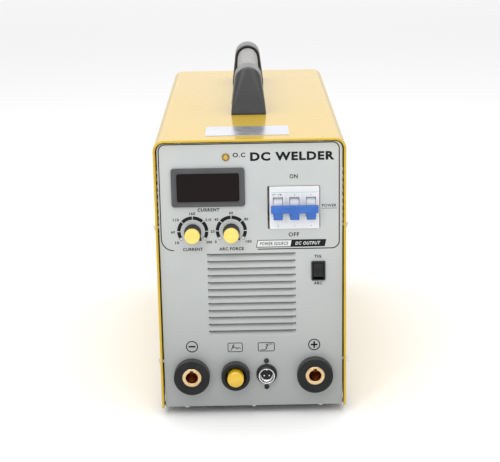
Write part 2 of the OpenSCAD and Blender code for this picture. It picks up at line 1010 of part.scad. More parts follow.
module gas_outlet_fitting() {
    color("goldenrod")
        translate([gas_x, front_face, row_y])
            difference() {
                union() {
                    translate([0, -fitting_out, 0])
                        rod_y(gas_thread_r, fitting_out + panel_t + 10);
                    translate([0, panel_t + 2, 0])
                        rotate([-90, 0, 0])
                            cylinder(r = 11, h = 6, $fn = 6);
                    translate([0, panel_t + 9, 0])
                        rod_y(gas_bore_r + 0.9, fitting_tail - 9);
                }
                translate([0, -fitting_out - 1, 0])
                    rod_y(gas_bore_r, fitting_out + fitting_tail + panel_t + 2);
            }
}

// Push-on dust cap with a rounded crown
module gas_outlet_cap() {
    r = gas_thread_r + 0.15 + cap_wall;
    r_in = gas_thread_r + 0.15;
    color("gold")
        translate([gas_x, front_face, row_y])
            turn_y([[r_in, 4], [r, 4], [r, cap_out - 2.6], [r - 0.8, cap_out - 1], [r - 2.6, cap_out - 0.2],
                [r - 5, cap_out], [0, cap_out], [0, fitting_out + 1], [r_in, fitting_out + 1]]);
}

module torch_socket_gasket() {
    color("#181818")
        translate([torch_x, front_face, row_y])
            turn_y([[torch_shell_r + fit_gap, 0], [torch_shell_r + fit_gap, 2.6], [torch_ring_r - 0.6, 2.6],
                [torch_ring_r, 2], [torch_ring_r, 0]]);
}

module torch_socket_shell() {
    color("silver")
        translate([torch_x, front_face, row_y])
            difference() {
                union() {
                    translate([0, -torch_out, 0])
                        rod_y(torch_shell_r, torch_out + panel_t + 12);
                    translate([-10, panel_t + fit_gap, -torch_screw_z - 4])
                        cube([20, 2, 2 * torch_screw_z + 8]);
                    translate([-0.8, -torch_out + 1, torch_cavity_r - 0.9])
                        cube([1.6, 6, 1.2]);
                }
                difference() {
                    translate([0, -torch_out - 1, 0])
                        rod_y(torch_cavity_r, torch_out + panel_t + 15);
                    translate([-0.8, -torch_out + 1, torch_cavity_r - 0.9])
                        cube([1.6, 5, 1.2]);
                }
                for (s = [-1, 1])
                    translate([0, 0, s * torch_screw_z])
                        rod_y(1.5 + fit_gap, 8);
            }
}

// Insulating insert with its two contact pins moulded in
module torch_socket_insert() {
    color("#181818")
        translate([torch_x, front_face, row_y]) {
            translate([0, -2, 0])
                rod_y(torch_cavity_r - fit_gap, 14);
            for (s = [-1, 1])
                translate([s * torch_pin_x, -6.5, 0])
                    rod_y(1, 28);
        }
}

module torch_socket_screws() {
    color("#303030")
        for (s = [-1, 1])
            translate([torch_x, front_face, row_y + s * torch_screw_z])
                rotate([-90, 0, 0])
                    cross_screw(1.5, 2.8, 1.6, 7);
}

// ---------------------------------------------------------------- inside

module control_board() {
    board_w = panel_w - 60;
    board_l = 120;
    board_y = bridge_front + 14;
    board_z = bridge_z + 8;
    color("darkgreen")
        translate([-board_w / 2, board_y, board_z])
            cube([board_w, board_l, board_t]);
    color("dimgray") {
        for (x = [-board_w / 2 + 6, board_w / 2 - 6], y = [6, board_l - 6])
            translate([x, board_y + y, bridge_z])
                cylinder(r = 3, h = board_z - bridge_z + 0.2);
        for (i = [0 : 3])
            translate([-board_w / 2 + 14 + i * 26, board_y + 30, board_z + board_t - 0.2])
                cube([16, 22, 9]);
        for (i = [0 : 4])
            translate([-board_w / 2 + 18 + i * 20, board_y + 78, board_z + board_t - 0.2])
                cylinder(r = 5, h = 16);
    }
}

module power_board() {
    board_w = sink_x[1] - sink_x[0] + sink_w;
    color("darkgreen")
        translate([sink_x[0] - sink_w / 2, sink_rear - sink_len, power_z])
            cube([board_w, sink_len, board_t]);
}

// Two finned extrusions, each with its row of power transistors or rectifiers on top
module heatsinks() {
    plate = 6;
    fin_n = 9;
    fin_t = 2;
    fin_pitch = (sink_w - fin_t) / (fin_n - 1);
    for (cx = sink_x)
        translate([cx - sink_w / 2, sink_rear - sink_len, sink_z]) {
            color("silver")
                union() {
                    translate([0, 0, sink_h - plate])
                        cube([sink_w, sink_len, plate]);
                    for (i = [0 : fin_n - 1])
                        translate([i * fin_pitch, 0, 0])
                            cube([fin_t, sink_len, sink_h - plate + 1]);
                }
            color("#202020")
                for (i = [0 : 2])
                    translate([10, 12 + i * 46, sink_h - 0.2])
                        cube([sink_w - 20, 34, 12]);
        }
}

module filter_capacitors() {
    color("midnightblue")
        for (i = [0 : 2], j = [0, 1])
            translate([sink_x[j] + 4, sink_rear - sink_len + 28 + i * 46, power_z + board_t + fit_gap])
                cylinder(r = cap_r, h = cap_tall);
}

// Main transformer: ferrite core with its winding on the middle limb
module transformer() {
    w = 72;
    h = 64;
    translate([-w / 2 - 20, core_rear - core_len, floor_z + 2]) {
        color("#303030")
            difference() {
                cube([w, core_len - 12, h]);
                for (x = [12, w / 2 + 8])
                    translate([x, -1, 12])
                        cube([w / 2 - 20, core_len, h - 24]);
            }
        color("peru")
            translate([14, -5.9, 14])
                difference() {
                    cube([w - 28, core_len, h - 28]);
                    translate([w / 2 - 22 - 0.1, 5.8, -1])
                        cube([16.2, core_len - 11.8, h]);
                }
    }
}

module output_choke() {
    w = 40;
    choke_x = lane_x - hose_r - 4 - w;
    translate([choke_x, core_rear - core_len, floor_z + 2]) {
        color("peru")
            difference() {
                cube([w, core_len - 12, 50]);
                translate([12, -1, 14])
                    cube([w - 24, core_len, 22]);
            }
    }
}

module arc_start_coil() {
    coil_y = front_in + 50;
    color("peru")
        translate([negative_x - 4, coil_y, row_y])
            difference() {
                union() {
                    for (i = [0 : 5])
                        translate([0, i * 6, 0])
                            rod_y(14, 4.5);
                    rod_y(12, 34.5);
                }
                translate([0, -1, 0])
                    rod_y(8, 37);
            }
}

module gas_valve_body() {
    color("goldenrod")
        difference() {
            union() {
                translate([lane_x - 11, valve_rear - valve_l, row_y - 10])
                    cube([22, valve_l, 20]);
                translate([lane_x, valve_rear - valve_l / 2, row_y + 9])
                    cylinder(r = 11, h = 32);
                translate([lane_x, valve_rear - valve_l - 12, row_y])
                    rod_y(gas_bore_r + 0.9, 13);
            }
            translate([lane_x, valve_rear - valve_l - 13, row_y])
                rod_y(gas_bore_r, valve_l / 2 + 8);
            translate([lane_x, valve_rear - 16, row_y])
                rod_y(5 + fit_gap, 20);
            translate([lane_x, valve_rear - valve_l / 2, row_y + 6])
                cylinder(r = plunger_r + run_gap, h = plunger_h + plunger_travel + 4);
        }
}

module gas_valve_plunger() {
    color("silver")
        translate([lane_x, valve_rear - valve_l / 2, row_y + 6.5])
            cylinder(r = plunger_r, h = plunger_h);
}

// Brass inlet screwed into the valve, with its hose tail outside the rear panel
module gas_inlet_nozzle() {
    color("goldenrod")
        translate([lane_x, rear_face, row_y])
            difference() {
                union() {
                    translate([0, -20, 0])
                        rod_y(5, 20);
                    translate([0, -panel_t - 3, 0])
                        rod_y(inlet_r + 2, panel_t + 3.1);
                    rotate([-90, 0, 0])
                        cylinder(r = inlet_r + 3.5, h = 6, $fn = 6);
                    rod_y(inlet_r, nozzle_out);
                }
                translate([0, -21, 0])
                    rod_y(gas_bore_r - 0.4, nozzle_out + 22);
            }
}

// Hose from the valve along the right side, across behind the sockets, to the gas outlet
module gas_hose() {
    out_y = front_in + fitting_tail - 14;
    valve_y = valve_rear - valve_l - 2;
    module bend() {
        rotate_extrude(angle = 90)
            translate([lane_bend, 0])
                circle(hose_r);
    }
    color("dimgray")
        difference() {
            union() {
                translate([lane_x, lane_y + lane_bend, row_y])
                    rod_y(hose_r, valve_y - lane_y - lane_bend);
                translate([lane_x - lane_bend, lane_y + lane_bend, row_y])
                    rotate([0, 0, -90])
                        bend();
                translate([gas_x + lane_bend, lane_y, row_y])
                    rotate([0, 90, 0])
                        cylinder(r = hose_r, h = lane_x - gas_x - 2 * lane_bend);
                translate([gas_x + lane_bend, lane_y - lane_bend, row_y])
                    rotate([0, 0, 90])
                        bend();
                translate([gas_x, out_y, row_y])
                    rod_y(hose_r, lane_y - lane_bend - out_y);
            }
            translate([gas_x, out_y - 1, row_y])
                rod_y(gas_bore_r + 1, 18);
            translate([lane_x, valve_y - 12, row_y])
                rod_y(gas_bore_r + 1, 13);
        }
}

module fan_frame() {
    hub_r = 20;
    color("#1c1c1c")
        translate([fan_x, fan_front, fan_z])
            difference() {
                union() {
                    difference() {
                        extrude_y(fan_d)
                            rounded_rect(fan_size, fan_size, 6);
                        translate([0, -1, 0])
                            rod_y(fan_size / 2 - 3, fan_d + 2);
                    }
                    rod_y(hub_r, 5);
                    for (a = [0 : 120 : 240])
                        rotate([0, a, 0])
                            translate([-3, 0, hub_r - 2])
                                cube([6, 4, fan_size / 2 - hub_r]);
                }
                translate([0, -1, 0])
                    rod_y(3 + run_gap, 8);
                for (sx = [-1, 1], sz = [-1, 1])
                    translate([sx * (fan_size / 2 - 7.5), -1, sz * (fan_size / 2 - 7.5)])
                        rod_y(screw_r + fit_gap, fan_d + 2);
            }
}

module fan_rotor() {
    blade_n = 7;
    hub_r = 22;
    hub_y = 6.5;
    hub_l = fan_d - hub_y - 2.5;
    color("#262626")
        translate([fan_x, fan_front, fan_z]) {
            translate([0, hub_y, 0])
                rod_y(hub_r, hub_l);
            translate([0, 1, 0])
                rod_y(3, hub_y);
            intersection() {
                for (i = [0 : blade_n - 1])
                    rotate([0, i * 360 / blade_n, 0])
                        rotate([0, 0, 38])
                            translate([-1, -2, hub_r - 3])
                                cube([2, hub_l + 12, fan_size / 2 - hub_r]);
                translate([0, hub_y + 1, 0])
                    rod_y(fan_size / 2 - 5, hub_l - 2);
            }
        }
}

// Finger guard: rings and spokes outside the rear panel, with its four screws
module fan_guard() {
    color("silver")
        translate([fan_x, rear_face, fan_z]) {
            for (r = [12, 24, 36, 48])
                translate([0, 3, 0])
                    difference() {
                        rod_y(r + 1, guard_out - 3);
                        translate([0, -1, 0])
                            rod_y(r - 1, guard_out);
                    }
            for (a = [45, 135])
                rotate([0, a, 0])
                    translate([-1, 2, -(fan_size / 2 - 7.5) * sqrt(2)])
                        cube([2, 2, (fan_size - 15) * sqrt(2)]);
            for (sx = [-1, 1], sz = [-1, 1])
                translate([sx * (fan_size / 2 - 7.5), 0, sz * (fan_size / 2 - 7.5)]) {
                    translate([0, -9, 0])
                        rod_y(screw_r, 10);
                    rod_y(3.8, 4.4);
                }
        }
}

// Mains cable gland and earth stud on the rear panel
module rear_fittings() {
    color("#1c1c1c")
        translate([gland_x, rear_face, gland_z])
            difference() {
                union() {
                    translate([0, -12, 0])
                        rod_y(cable_r + 3.5, 13);
                    rotate([-90, 0, 0])
                        cylinder(r = cable_r + 6.5, h = 6, $fn = 6);
                    translate([0, 5.5, 0])
                        rotate([-90, 0, 0])
                            cylinder(r1 = cable_r + 5, r2 = cable_r + 2.5, h = 14);
                    translate([0, -panel_t - 6, 0])
                        rotate([-90, 0, 0])
                            cylinder(r = cable_r + 6.5, h = 5.5, $fn = 6);
                }
                translate([0, -13, 0])
                    rod_y(cable_r, 40);
            }
    color("goldenrod")
        translate([stud_x, rear_face, stud_z]) {
            translate([0, -10, 0])
                rod_y(3, 26);
            rotate([-90, 0, 0])
                cylinder(r = 6, h = 4, $fn = 6);
            translate([0, -panel_t - 4.6, 0])
                rotate([-90, 0, 0])
                    cylinder(r = 6, h = 4, $fn = 6);
        }
}

base_pan();
front_panel();
rear_panel();
cover();
bridge_plate();
rubber_feet();
foot_screws();
cover_screws();
base_screws();
handle_front_bracket();
handle_rear_bracket();
handle_grip();
handle_screws();
rating_plate();
display_bezel();
display_window();
display_board();
lamp_holder();
overcurrent_lamp();
current_knob();
current_knob_cap();
current_potentiometer();
current_shaft();
arc_force_knob();
arc_force_knob_cap();
arc_force_potentiometer();
arc_force_shaft();
dial_nuts();
breaker_body();
breaker_handle();
breaker_rail();
mode_switch_housing();
mode_switch_rocker();
negative_socket_shell();
negative_socket_contact();
positive_socket_shell();
positive_socket_contact();
socket_nuts();
gas_outlet_ring();
gas_outlet_fitting();
gas_outlet_cap();
torch_socket_gasket();
torch_socket_shell();
torch_socket_insert();
torch_socket_screws();
control_board();
power_board();
heatsinks();
filter_capacitors();
transformer();
output_choke();
arc_start_coil();
gas_valve_body();
gas_valve_plunger();
gas_inlet_nozzle();
gas_hose();
fan_frame();
fan_rotor();
fan_guard();
rear_fittings();
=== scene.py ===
# Inverter welding machine for TIG and stick welding: its looks, in metres, in the frame of its parts.
import json
import math

import bmesh
import bpy
from mathutils import Matrix, Vector


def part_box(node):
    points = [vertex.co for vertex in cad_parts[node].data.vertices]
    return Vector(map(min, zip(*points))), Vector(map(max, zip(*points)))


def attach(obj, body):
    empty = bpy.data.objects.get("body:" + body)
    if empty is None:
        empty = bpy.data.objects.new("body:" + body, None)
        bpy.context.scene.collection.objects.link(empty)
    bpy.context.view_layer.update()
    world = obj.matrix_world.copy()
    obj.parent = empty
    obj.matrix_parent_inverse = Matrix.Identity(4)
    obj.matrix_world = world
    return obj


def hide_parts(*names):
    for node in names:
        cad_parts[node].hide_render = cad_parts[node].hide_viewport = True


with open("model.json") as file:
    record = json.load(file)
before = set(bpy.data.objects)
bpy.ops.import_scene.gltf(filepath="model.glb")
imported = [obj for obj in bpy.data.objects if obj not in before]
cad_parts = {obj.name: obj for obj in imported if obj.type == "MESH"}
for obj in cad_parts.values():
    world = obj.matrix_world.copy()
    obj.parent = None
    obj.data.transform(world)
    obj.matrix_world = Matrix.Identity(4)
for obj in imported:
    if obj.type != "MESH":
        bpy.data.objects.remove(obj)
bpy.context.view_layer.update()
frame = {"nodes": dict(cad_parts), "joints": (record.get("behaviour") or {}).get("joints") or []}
mm = 0.001

# ------------------------------------------------------------------------------------------ camera
# A long lens stands a little above the top cover and looks down at the front panel, so that the
# sides of the cover are just out of sight.
cover_low, cover_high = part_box("cover")
look_down = math.radians(15.547)
tilt = math.radians(1.053)
view_line = Vector((0, math.cos(look_down), -math.sin(look_down)))
view_up = Vector((0, math.sin(look_down), math.cos(look_down)))
view_right = Vector((1, 0, 0)) * math.cos(tilt) - view_up * math.sin(tilt)
view_up = view_right.cross(view_line)
camera = bpy.data.objects.new("camera", bpy.data.cameras.new("camera"))
camera.data.lens = 96.2
camera.data.sensor_width = 36
camera.matrix_world = Matrix((view_right, view_up, -view_line)).transposed().to_4x4()
camera.location = (-0.94 * mm, cover_low.y - 1380.8 * mm, cover_low.z + 587.2 * mm)
bpy.context.scene.collection.objects.link(camera)
bpy.context.scene.camera = camera

# ------------------------------------------------------------------------------------------ studio
# A pale seamless floor under a white tent. Soft boxes hang overhead and over the floor in front, one
# stands far behind for the shine of the cover, and a small one at the left gives the highlights.
world = bpy.data.worlds.new("white_tent")
world.use_nodes = True
world.node_tree.nodes["Background"].inputs["Color"].default_value = (1.0, 1.0, 1.0, 1)
world.node_tree.nodes["Background"].inputs["Strength"].default_value = 0.79
bpy.context.scene.world = world
bpy.context.scene.view_settings.view_transform = "Standard"


def soft_box(name, place, aim, width, height, power):
    lamp = bpy.data.lights.new(name, "AREA")
    lamp.shape = "RECTANGLE"
    lamp.size = width
    lamp.size_y = height
    lamp.energy = power
    holder = bpy.data.objects.new(name, lamp)
    holder.location = place
    holder.rotation_euler = (Vector(aim) - Vector(place)).to_track_quat("-Z", "Y").to_euler()
    bpy.context.scene.collection.objects.link(holder)


soft_box("overhead_box", (0.0, 0.0, 2.0), (0.0, 0.0, 0.0), 2.6, 2.4, 20)
soft_box("back_box", (0.0, 5.0, 1.8), (0.0, 0.0, 0.3), 8.0, 2.4, 24)
soft_box("front_box", (-0.7, -1.5, 1.15), (0.0, -0.2, 0.2), 0.3, 0.3, 3)
soft_box("floor_box", (0.0, -1.35, 1.8), (0.0, -0.9, 0.0), 1.8, 0.8, 7)

floor_bm = bmesh.new()
bmesh.ops.create_circle(floor_bm, cap_ends=True, segments=96, radius=8)
floor_mesh = bpy.data.meshes.new("floor")
floor_bm.to_mesh(floor_mesh)
floor_bm.free()
floor = bpy.data.objects.new("floor", floor_mesh)
bpy.context.scene.collection.objects.link(floor)
floor_paper = bpy.data.materials.new("floor_paper")
floor_paper.use_nodes = True
floor_paper.node_tree.nodes["Principled BSDF"].inputs["Base Color"].default_value = (0.97, 0.97, 0.97, 1)
floor_paper.node_tree.nodes["Principled BSDF"].inputs["Roughness"].default_value = 0.9
floor.data.materials.append(floor_paper)

# ---------------------------------------------------------------------------------------- base pan
# Folded from 1.5 mm steel and coated dark grey. Everything heavy is screwed down on it, and the
# front and rear panels are screwed up into its ends. Its finish brings in the two shared effects:
# a slow drift between two tones, and a fine grain that gives the surface its tooth.


def shared_effect(name, numbers, outputs):
    """An empty node group with a vector input for the pattern's place, number inputs, and outputs."""
    group = bpy.data.node_groups.new(name, "ShaderNodeTree")
    group.interface.new_socket("Place", in_out="INPUT", socket_type="NodeSocketVector")
    for word, value in numbers.items():
        group.interface.new_socket(word, in_out="INPUT", socket_type="NodeSocketFloat").default_value = value
    for word in outputs:
        group.interface.new_socket(word, in_out="OUTPUT", socket_type="NodeSocketFloat")
    return group, group.nodes.new("NodeGroupInput"), group.nodes.new("NodeGroupOutput")


drift, drift_in, drift_out = shared_effect("tone_drift", {"Size": 40.0, "Contrast": 1.0}, ["Tone"])
cloud = drift.nodes.new("ShaderNodeTexNoise")
cloud.inputs["Detail"].default_value = 4
cloud.inputs["Roughness"].default_value = 0.6
spread = drift.nodes.new("ShaderNodeMapRange")
spread.inputs["From Min"].default_value = 0.3
spread.inputs["From Max"].default_value = 0.7
drift.links.new(drift_in.outputs["Place"], cloud.inputs["Vector"])
drift.links.new(drift_in.outputs["Size"], cloud.inputs["Scale"])
drift.links.new(cloud.outputs["Fac"], spread.inputs["Value"])
drift.links.new(drift_in.outputs["Contrast"], spread.inputs["To Max"])
drift.links.new(spread.outputs["Result"], drift_out.inputs["Tone"])

grain, grain_in, grain_out = shared_effect("surface_grain", {"Size": 2000.0, "Pits": 0.3},
                                           ["Height", "Speck"])
fine = grain.nodes.new("ShaderNodeTexNoise")
fine.inputs["Detail"].default_value = 3
pits = grain.nodes.new("ShaderNodeTexVoronoi")
specks = grain.nodes.new("ShaderNodeMapRange")
specks.inputs["From Min"].default_value = 0.12
specks.inputs["From Max"].default_value = 0.3
specks.inputs["To Min"].default_value = 1
specks.inputs["To Max"].default_value = 0
blended = grain.nodes.new("ShaderNodeMix")
for texture in (fine, pits):
    grain.links.new(grain_in.outputs["Place"], texture.inputs["Vector"])
    grain.links.new(grain_in.outputs["Size"], texture.inputs["Scale"])
grain.links.new(grain_in.outputs["Pits"], blended.inputs["Factor"])
grain.links.new(fine.outputs["Fac"], blended.inputs[2])
grain.links.new(pits.outputs["Distance"], blended.inputs[3])
grain.links.new(pits.outputs["Distance"], specks.inputs["Value"])
grain.links.new(blended.outputs[0], grain_out.inputs["Height"])
grain.links.new(specks.outputs["Result"], grain_out.inputs["Speck"])


def finish(name, deep, light, rough, grain_size, depth, stretch=(1, 1, 1), pits=0.3, drift_size=40, **plain):
    """A finish that drifts from a deep tone to a light one, is rough between two values, and has a
    grain of some size per metre and depth in metres. Plain values go straight to the shader's own sockets."""
    made = bpy.data.materials.new(name)
    made.use_nodes = True
    nodes, links = made.node_tree.nodes, made.node_tree.links
    shader = nodes["Principled BSDF"]
    where = nodes.new("ShaderNodeTexCoord")
    along = nodes.new("ShaderNodeMapping")
    along.inputs["Scale"].default_value = stretch
    tone = nodes.new("ShaderNodeGroup")
    tone.node_tree = drift
    tone.inputs["Size"].default_value = drift_size
    tooth = nodes.new("ShaderNodeGroup")
    tooth.node_tree = grain
    tooth.inputs["Size"].default_value = grain_size
    tooth.inputs["Pits"].default_value = pits
    mixed = nodes.new("ShaderNodeMix")
    mixed.data_type = "RGBA"
    mixed.inputs[6].default_value = (*deep, 1)
    mixed.inputs[7].default_value = (*light, 1)
    gloss = nodes.new("ShaderNodeMapRange")
    gloss.inputs["To Min"].default_value = rough[0]
    gloss.inputs["To Max"].default_value = rough[1]
    relief = nodes.new("ShaderNodeBump")
    relief.inputs["Distance"].default_value = depth
    links.new(where.outputs["Object"], along.inputs["Vector"])
    links.new(where.outputs["Object"], tone.inputs["Place"])
    links.new(along.outputs["Vector"], tooth.inputs["Place"])
    links.new(tone.outputs["Tone"], mixed.inputs["Factor"])
    links.new(mixed.outputs[2], shader.inputs["Base Color"])
    links.new(tone.outputs["Tone"], gloss.inputs["Value"])
    links.new(gloss.outputs["Result"], shader.inputs["Roughness"])
    links.new(tooth.outputs["Height"], relief.inputs["Height"])
    links.new(relief.outputs["Normal"], shader.inputs["Normal"])
    for socket, value in plain.items():
        shader.inputs[socket.replace("_", " ")].default_value = value
    return made


def dress(node, *finishes):
    """Gives a CAD part its finish, on the material slots of its object."""
    part = frame["nodes"][node]
    part.data.materials.clear()
    for one in finishes:
        part.data.materials.append(one)
    return part


dark_coat = finish("dark_grey_coat", (0.055, 0.056, 0.06), (0.075, 0.076, 0.08), (0.4, 0.55), 900, 0.00004)
dress("base_pan", dark_coat)

# --------------------------------------------------------------------------------------------- feet
# Four moulded rubber feet, each with a waist and a hollow for its screw. A steel screw through the
# hollow pulls the foot up against the pan.


def turned(bm, outline, centre, axis=(0, 0, 1), steps=64):
    """Spins an outline of (radius, distance along the axis) into a closed round form."""
    old = set(bm.verts)
    points = [bm.verts.new((radius, 0, along)) for radius, along in outline]
    if outline[0][0] > 0:
        points.append(points[0])
    lines = [bm.edges.new(pair) for pair in zip(points, points[1:])]
    bmesh.ops.spin(bm, geom=points[:len(outline)] + lines, axis=(0, 0, 1), cent=(0, 0, 0), angle=math.tau,
                   steps=steps, use_merge=True)
    fresh = [v for v in bm.verts if v not in old]
    aim = Vector((0, 0, 1)).rotation_difference(Vector(axis)).to_matrix().to_4x4()
    bmesh.ops.transform(bm, matrix=Matrix.Translation(centre) @ aim, verts=fresh)
    return fresh


def rod(bm, radius, length, centre, axis, steps):
    """A plain round rod that starts at a centre and runs along an axis."""
    return turned(bm, [(0, 0), (radius, 0), (radius, length), (0, length)], centre, axis, steps)


def crease(bm, sharp=38):
    """Shades every face smoothly but keeps the edges beyond an angle crisp."""
    for face in bm.faces:
        face.smooth = True
    for edge in bm.edges:
        edge.smooth = len(edge.link_faces) == 2 and edge.calc_face_angle() < math.radians(sharp)


def made(bm, name, *finishes, sharp=38):
    """Closes a bmesh into a finished object."""
    bmesh.ops.remove_doubles(bm, verts=bm.verts, dist=2e-6)
    bmesh.ops.recalc_face_normals(bm, faces=bm.faces)
    crease(bm, sharp)
    mesh = bpy.data.meshes.new(name)
    bm.to_mesh(mesh)
    bm.free()
    piece = bpy.data.objects.new(name, mesh)
    for one in finishes:
        mesh.materials.append(one)
    bpy.context.scene.collection.objects.link(piece)
    shading = piece.modifiers.new("even_shading", "WEIGHTED_NORMAL")
    shading.keep_sharp = True
    return piece


rubber = finish("foot_rubber", (0.018, 0.018, 0.019), (0.03, 0.03, 0.03), (0.65, 0.85), 1800, 0.00005)
bright_zinc = finish("bright_zinc", (0.55, 0.56, 0.58), (0.72, 0.73, 0.74), (0.22, 0.38), 900, 0.00001,
                     drift_size=260, Metallic=1.0)
foot_low, foot_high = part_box("rubber_feet")
foot_r = 12 * mm
foot_h = foot_high.z - foot_low.z
foot_outline = [(5 * mm, 0), (8.5 * mm, 0), (10.2 * mm, 0.6 * mm), (10.9 * mm, 2.5 * mm),
                (10.6 * mm, 5 * mm), (11.2 * mm, 7 * mm), (foot_r, 8.2 * mm), (foot_r, foot_h),
                (5 * mm, foot_h)]
feet_bm = bmesh.new()
for foot_x in (foot_low.x + foot_r, foot_high.x - foot_r):
    for foot_y in (foot_low.y + foot_r, foot_high.y - foot_r):
        turned(feet_bm, foot_outline, (foot_x, foot_y, foot_low.z), steps=40)
feet = made(feet_bm, "moulded_feet", rubber)
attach(feet, "chassis")
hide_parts("rubber_feet")
dress("foot_screws", bright_zinc)

# -------------------------------------------------------------------------------------- front panel
# 1.5 mm sheet, folded back along its edges and powder coated light grey. The louvres are pressed
# inwards from the same sheet: each is cut along its top, and its blade slopes back behind the cut.


def plate(bm, low, high, radius, top_only=False, rounds=6):
    """A slab that faces forward between two corners, with its outline's corners rounded."""
    old = set(bm.verts)
    low, high = Vector(low), Vector(high)
    middle, size = (low + high) / 2, high - low
    stand = Matrix.Translation((middle.x, low.y, middle.z)) @ Matrix.Rotation(math.pi / 2, 4, "X")
    corners = bmesh.ops.create_grid(bm, x_segments=1, y_segments=1, size=0.5,
                                    matrix=stand @ Matrix.Diagonal((size.x, size.z, 1, 1)))["verts"]
    if radius:
        bent = [v for v in corners if v.co.z > middle.z or not top_only]
        bmesh.ops.bevel(bm, geom=bent, offset=radius, affect="VERTICES", segments=rounds, profile=0.5,
                        material=-1)
    face = next(f for f in bm.faces if f.verts[0] not in old)
    pushed = bmesh.ops.extrude_face_region(bm, geom=[face])["geom"]
    bmesh.ops.translate(bm, verts=[v for v in pushed if isinstance(v, bmesh.types.BMVert)],
                        vec=(0, size.y, 0))
    return [v for v in bm.verts if v not in old]


def soften(bm, width, segments=2, beyond=40):
    """Rounds every edge that turns beyond an angle."""
    bmesh.ops.remove_doubles(bm, verts=bm.verts, dist=2e-6)
    bmesh.ops.recalc_face_normals(bm, faces=bm.faces)
    edges = [e for e in bm.edges if len(e.link_faces) == 2 and e.calc_face_angle() > math.radians(beyond)]
    bmesh.ops.bevel(bm, geom=edges, offset=width, affect="EDGES", segments=segments, profile=0.5,
                    material=-1, clamp_overlap=True)


def cut(piece, cutter_bm):
    """Takes the volume of a bmesh out of a piece."""
    cutter = made(cutter_bm, piece.name + "_cutter")
    cutter.modifiers.clear()
    knife = piece.modifiers.new("cut", "BOOLEAN")
    knife.object = cutter
    knife.solver = "EXACT"
    knife.use_self = True
    piece.modifiers["even_shading"].show_viewport = False
    opened = bpy.data.meshes.new_from_object(piece.evaluated_get(bpy.context.evaluated_depsgraph_get()))
    piece.modifiers["even_shading"].show_viewport = True
    piece.modifiers.remove(knife)
    piece.data = opened
    opened.name = piece.name
    edges_bm = bmesh.new()
    edges_bm.from_mesh(opened)
    bmesh.ops.remove_doubles(edges_bm, verts=edges_bm.verts, dist=1e-6)
    crease(edges_bm)
    edges_bm.to_mesh(opened)
    edges_bm.free()
    bpy.data.objects.remove(cutter)


def middle_of(node):
    low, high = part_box(node)
    return (low + high) / 2


def panel_sheet(bm, low, high, inward):
    """A panel with round top corners and three flanges folded inwards, which is 1 for the front panel
    and -1 for the rear one."""
    sheet = 1.5 * mm
    fold = 16 * mm
    corner = 8 * mm
    face_y = low.y if inward > 0 else high.y
    back_y = face_y + inward * sheet
    plate(bm, (low.x, min(face_y, back_y), low.z), (high.x, max(face_y, back_y), high.z), corner,
          top_only=True, rounds=10)
    deep = sorted((back_y - inward * 0.2 * mm, face_y + inward * fold))
    plate(bm, (low.x + sheet, deep[0], low.z), (high.x - sheet, deep[1], low.z + sheet), 0)
    for left in (low.x, high.x - sheet):
        plate(bm, (left, deep[0], low.z + 24 * mm), (left + sheet, deep[1], high.z - 10 * mm), 0)
    soften(bm, 0.35 * mm, 2)


def painted_shade_downward(finished, low_z, high_z, share):
    """Paints shade into a finish, darker towards a low height, down to a share of its tone."""
    nodes, links = finished.node_tree.nodes, finished.node_tree.links
    shader = nodes["Principled BSDF"]
    split = nodes.new("ShaderNodeSeparateXYZ")
    fall = nodes.new("ShaderNodeMapRange")
    fall.inputs["From Min"].default_value = low_z
    fall.inputs["From Max"].default_value = high_z
    fall.inputs["To Min"].default_value = share
    darker = nodes.new("ShaderNodeMix")
    darker.data_type = "RGBA"
    darker.blend_type = "MULTIPLY"
    darker.inputs["Factor"].default_value = 1
    links.new(nodes["Texture Coordinate"].outputs["Object"], split.inputs["Vector"])
    links.new(split.outputs["Z"], fall.inputs["Value"])
    links.new(shader.inputs["Base Color"].links[0].from_socket, darker.inputs[6])
    links.new(fall.outputs["Result"], darker.inputs[7])
    links.new(darker.outputs[2], shader.inputs["Base Color"])
    return finished


panel_low, panel_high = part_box("front_panel")
# The light grey coat carries painted shade: its colour grows darker towards the bottom of the panels.
grey_coat = painted_shade_downward(finish("light_grey_coat", (0.515, 0.538, 0.530), (0.57, 0.590, 0.575), (0.34, 0.48),
                             1100, 0.00003, drift_size=9), panel_low.z - 0.03, panel_high.z - 0.08, 0.58)
face_y = panel_low.y
front_bm = bmesh.new()
panel_sheet(front_bm, panel_low, panel_high, 1)
front = made(front_bm, "front_panel_sheet", grey_coat)

holes = bmesh.new()
bezel_low, bezel_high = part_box("display_bezel")
breaker_low, breaker_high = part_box("breaker_body")
nose_h = 46.5 * mm
breaker_mid = (breaker_low + breaker_high) / 2
mode_low, mode_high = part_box("mode_switch_housing")
for low, high, margin in (
        (bezel_low, bezel_high, 2 * mm),
        (Vector((breaker_low.x - 1.8 * mm, 0, breaker_mid.z - nose_h / 2)),
         Vector((breaker_high.x + 0.4 * mm, 0, breaker_mid.z + nose_h / 2)), -0.4 * mm),
        (mode_low, mode_high, 1.2 * mm)):
    plate(holes, (low.x + margin, face_y - 2 * mm, low.z + margin),
          (high.x - margin, face_y + 5 * mm, high.z - margin), 1.2 * mm)
for node, radius in (("current_shaft", 4.6), ("arc_force_shaft", 4.6), ("lamp_holder", 3.3),
                     ("negative_socket_shell", 14.9), ("positive_socket_shell", 14.9),
                     ("gas_outlet_ring", 8.1), ("torch_socket_gasket", 9.4)):
    spot = middle_of(node)
    rod(holes, radius * mm, 7 * mm, (spot.x, face_y - 2 * mm, spot.z), (0, 1, 0), 40)

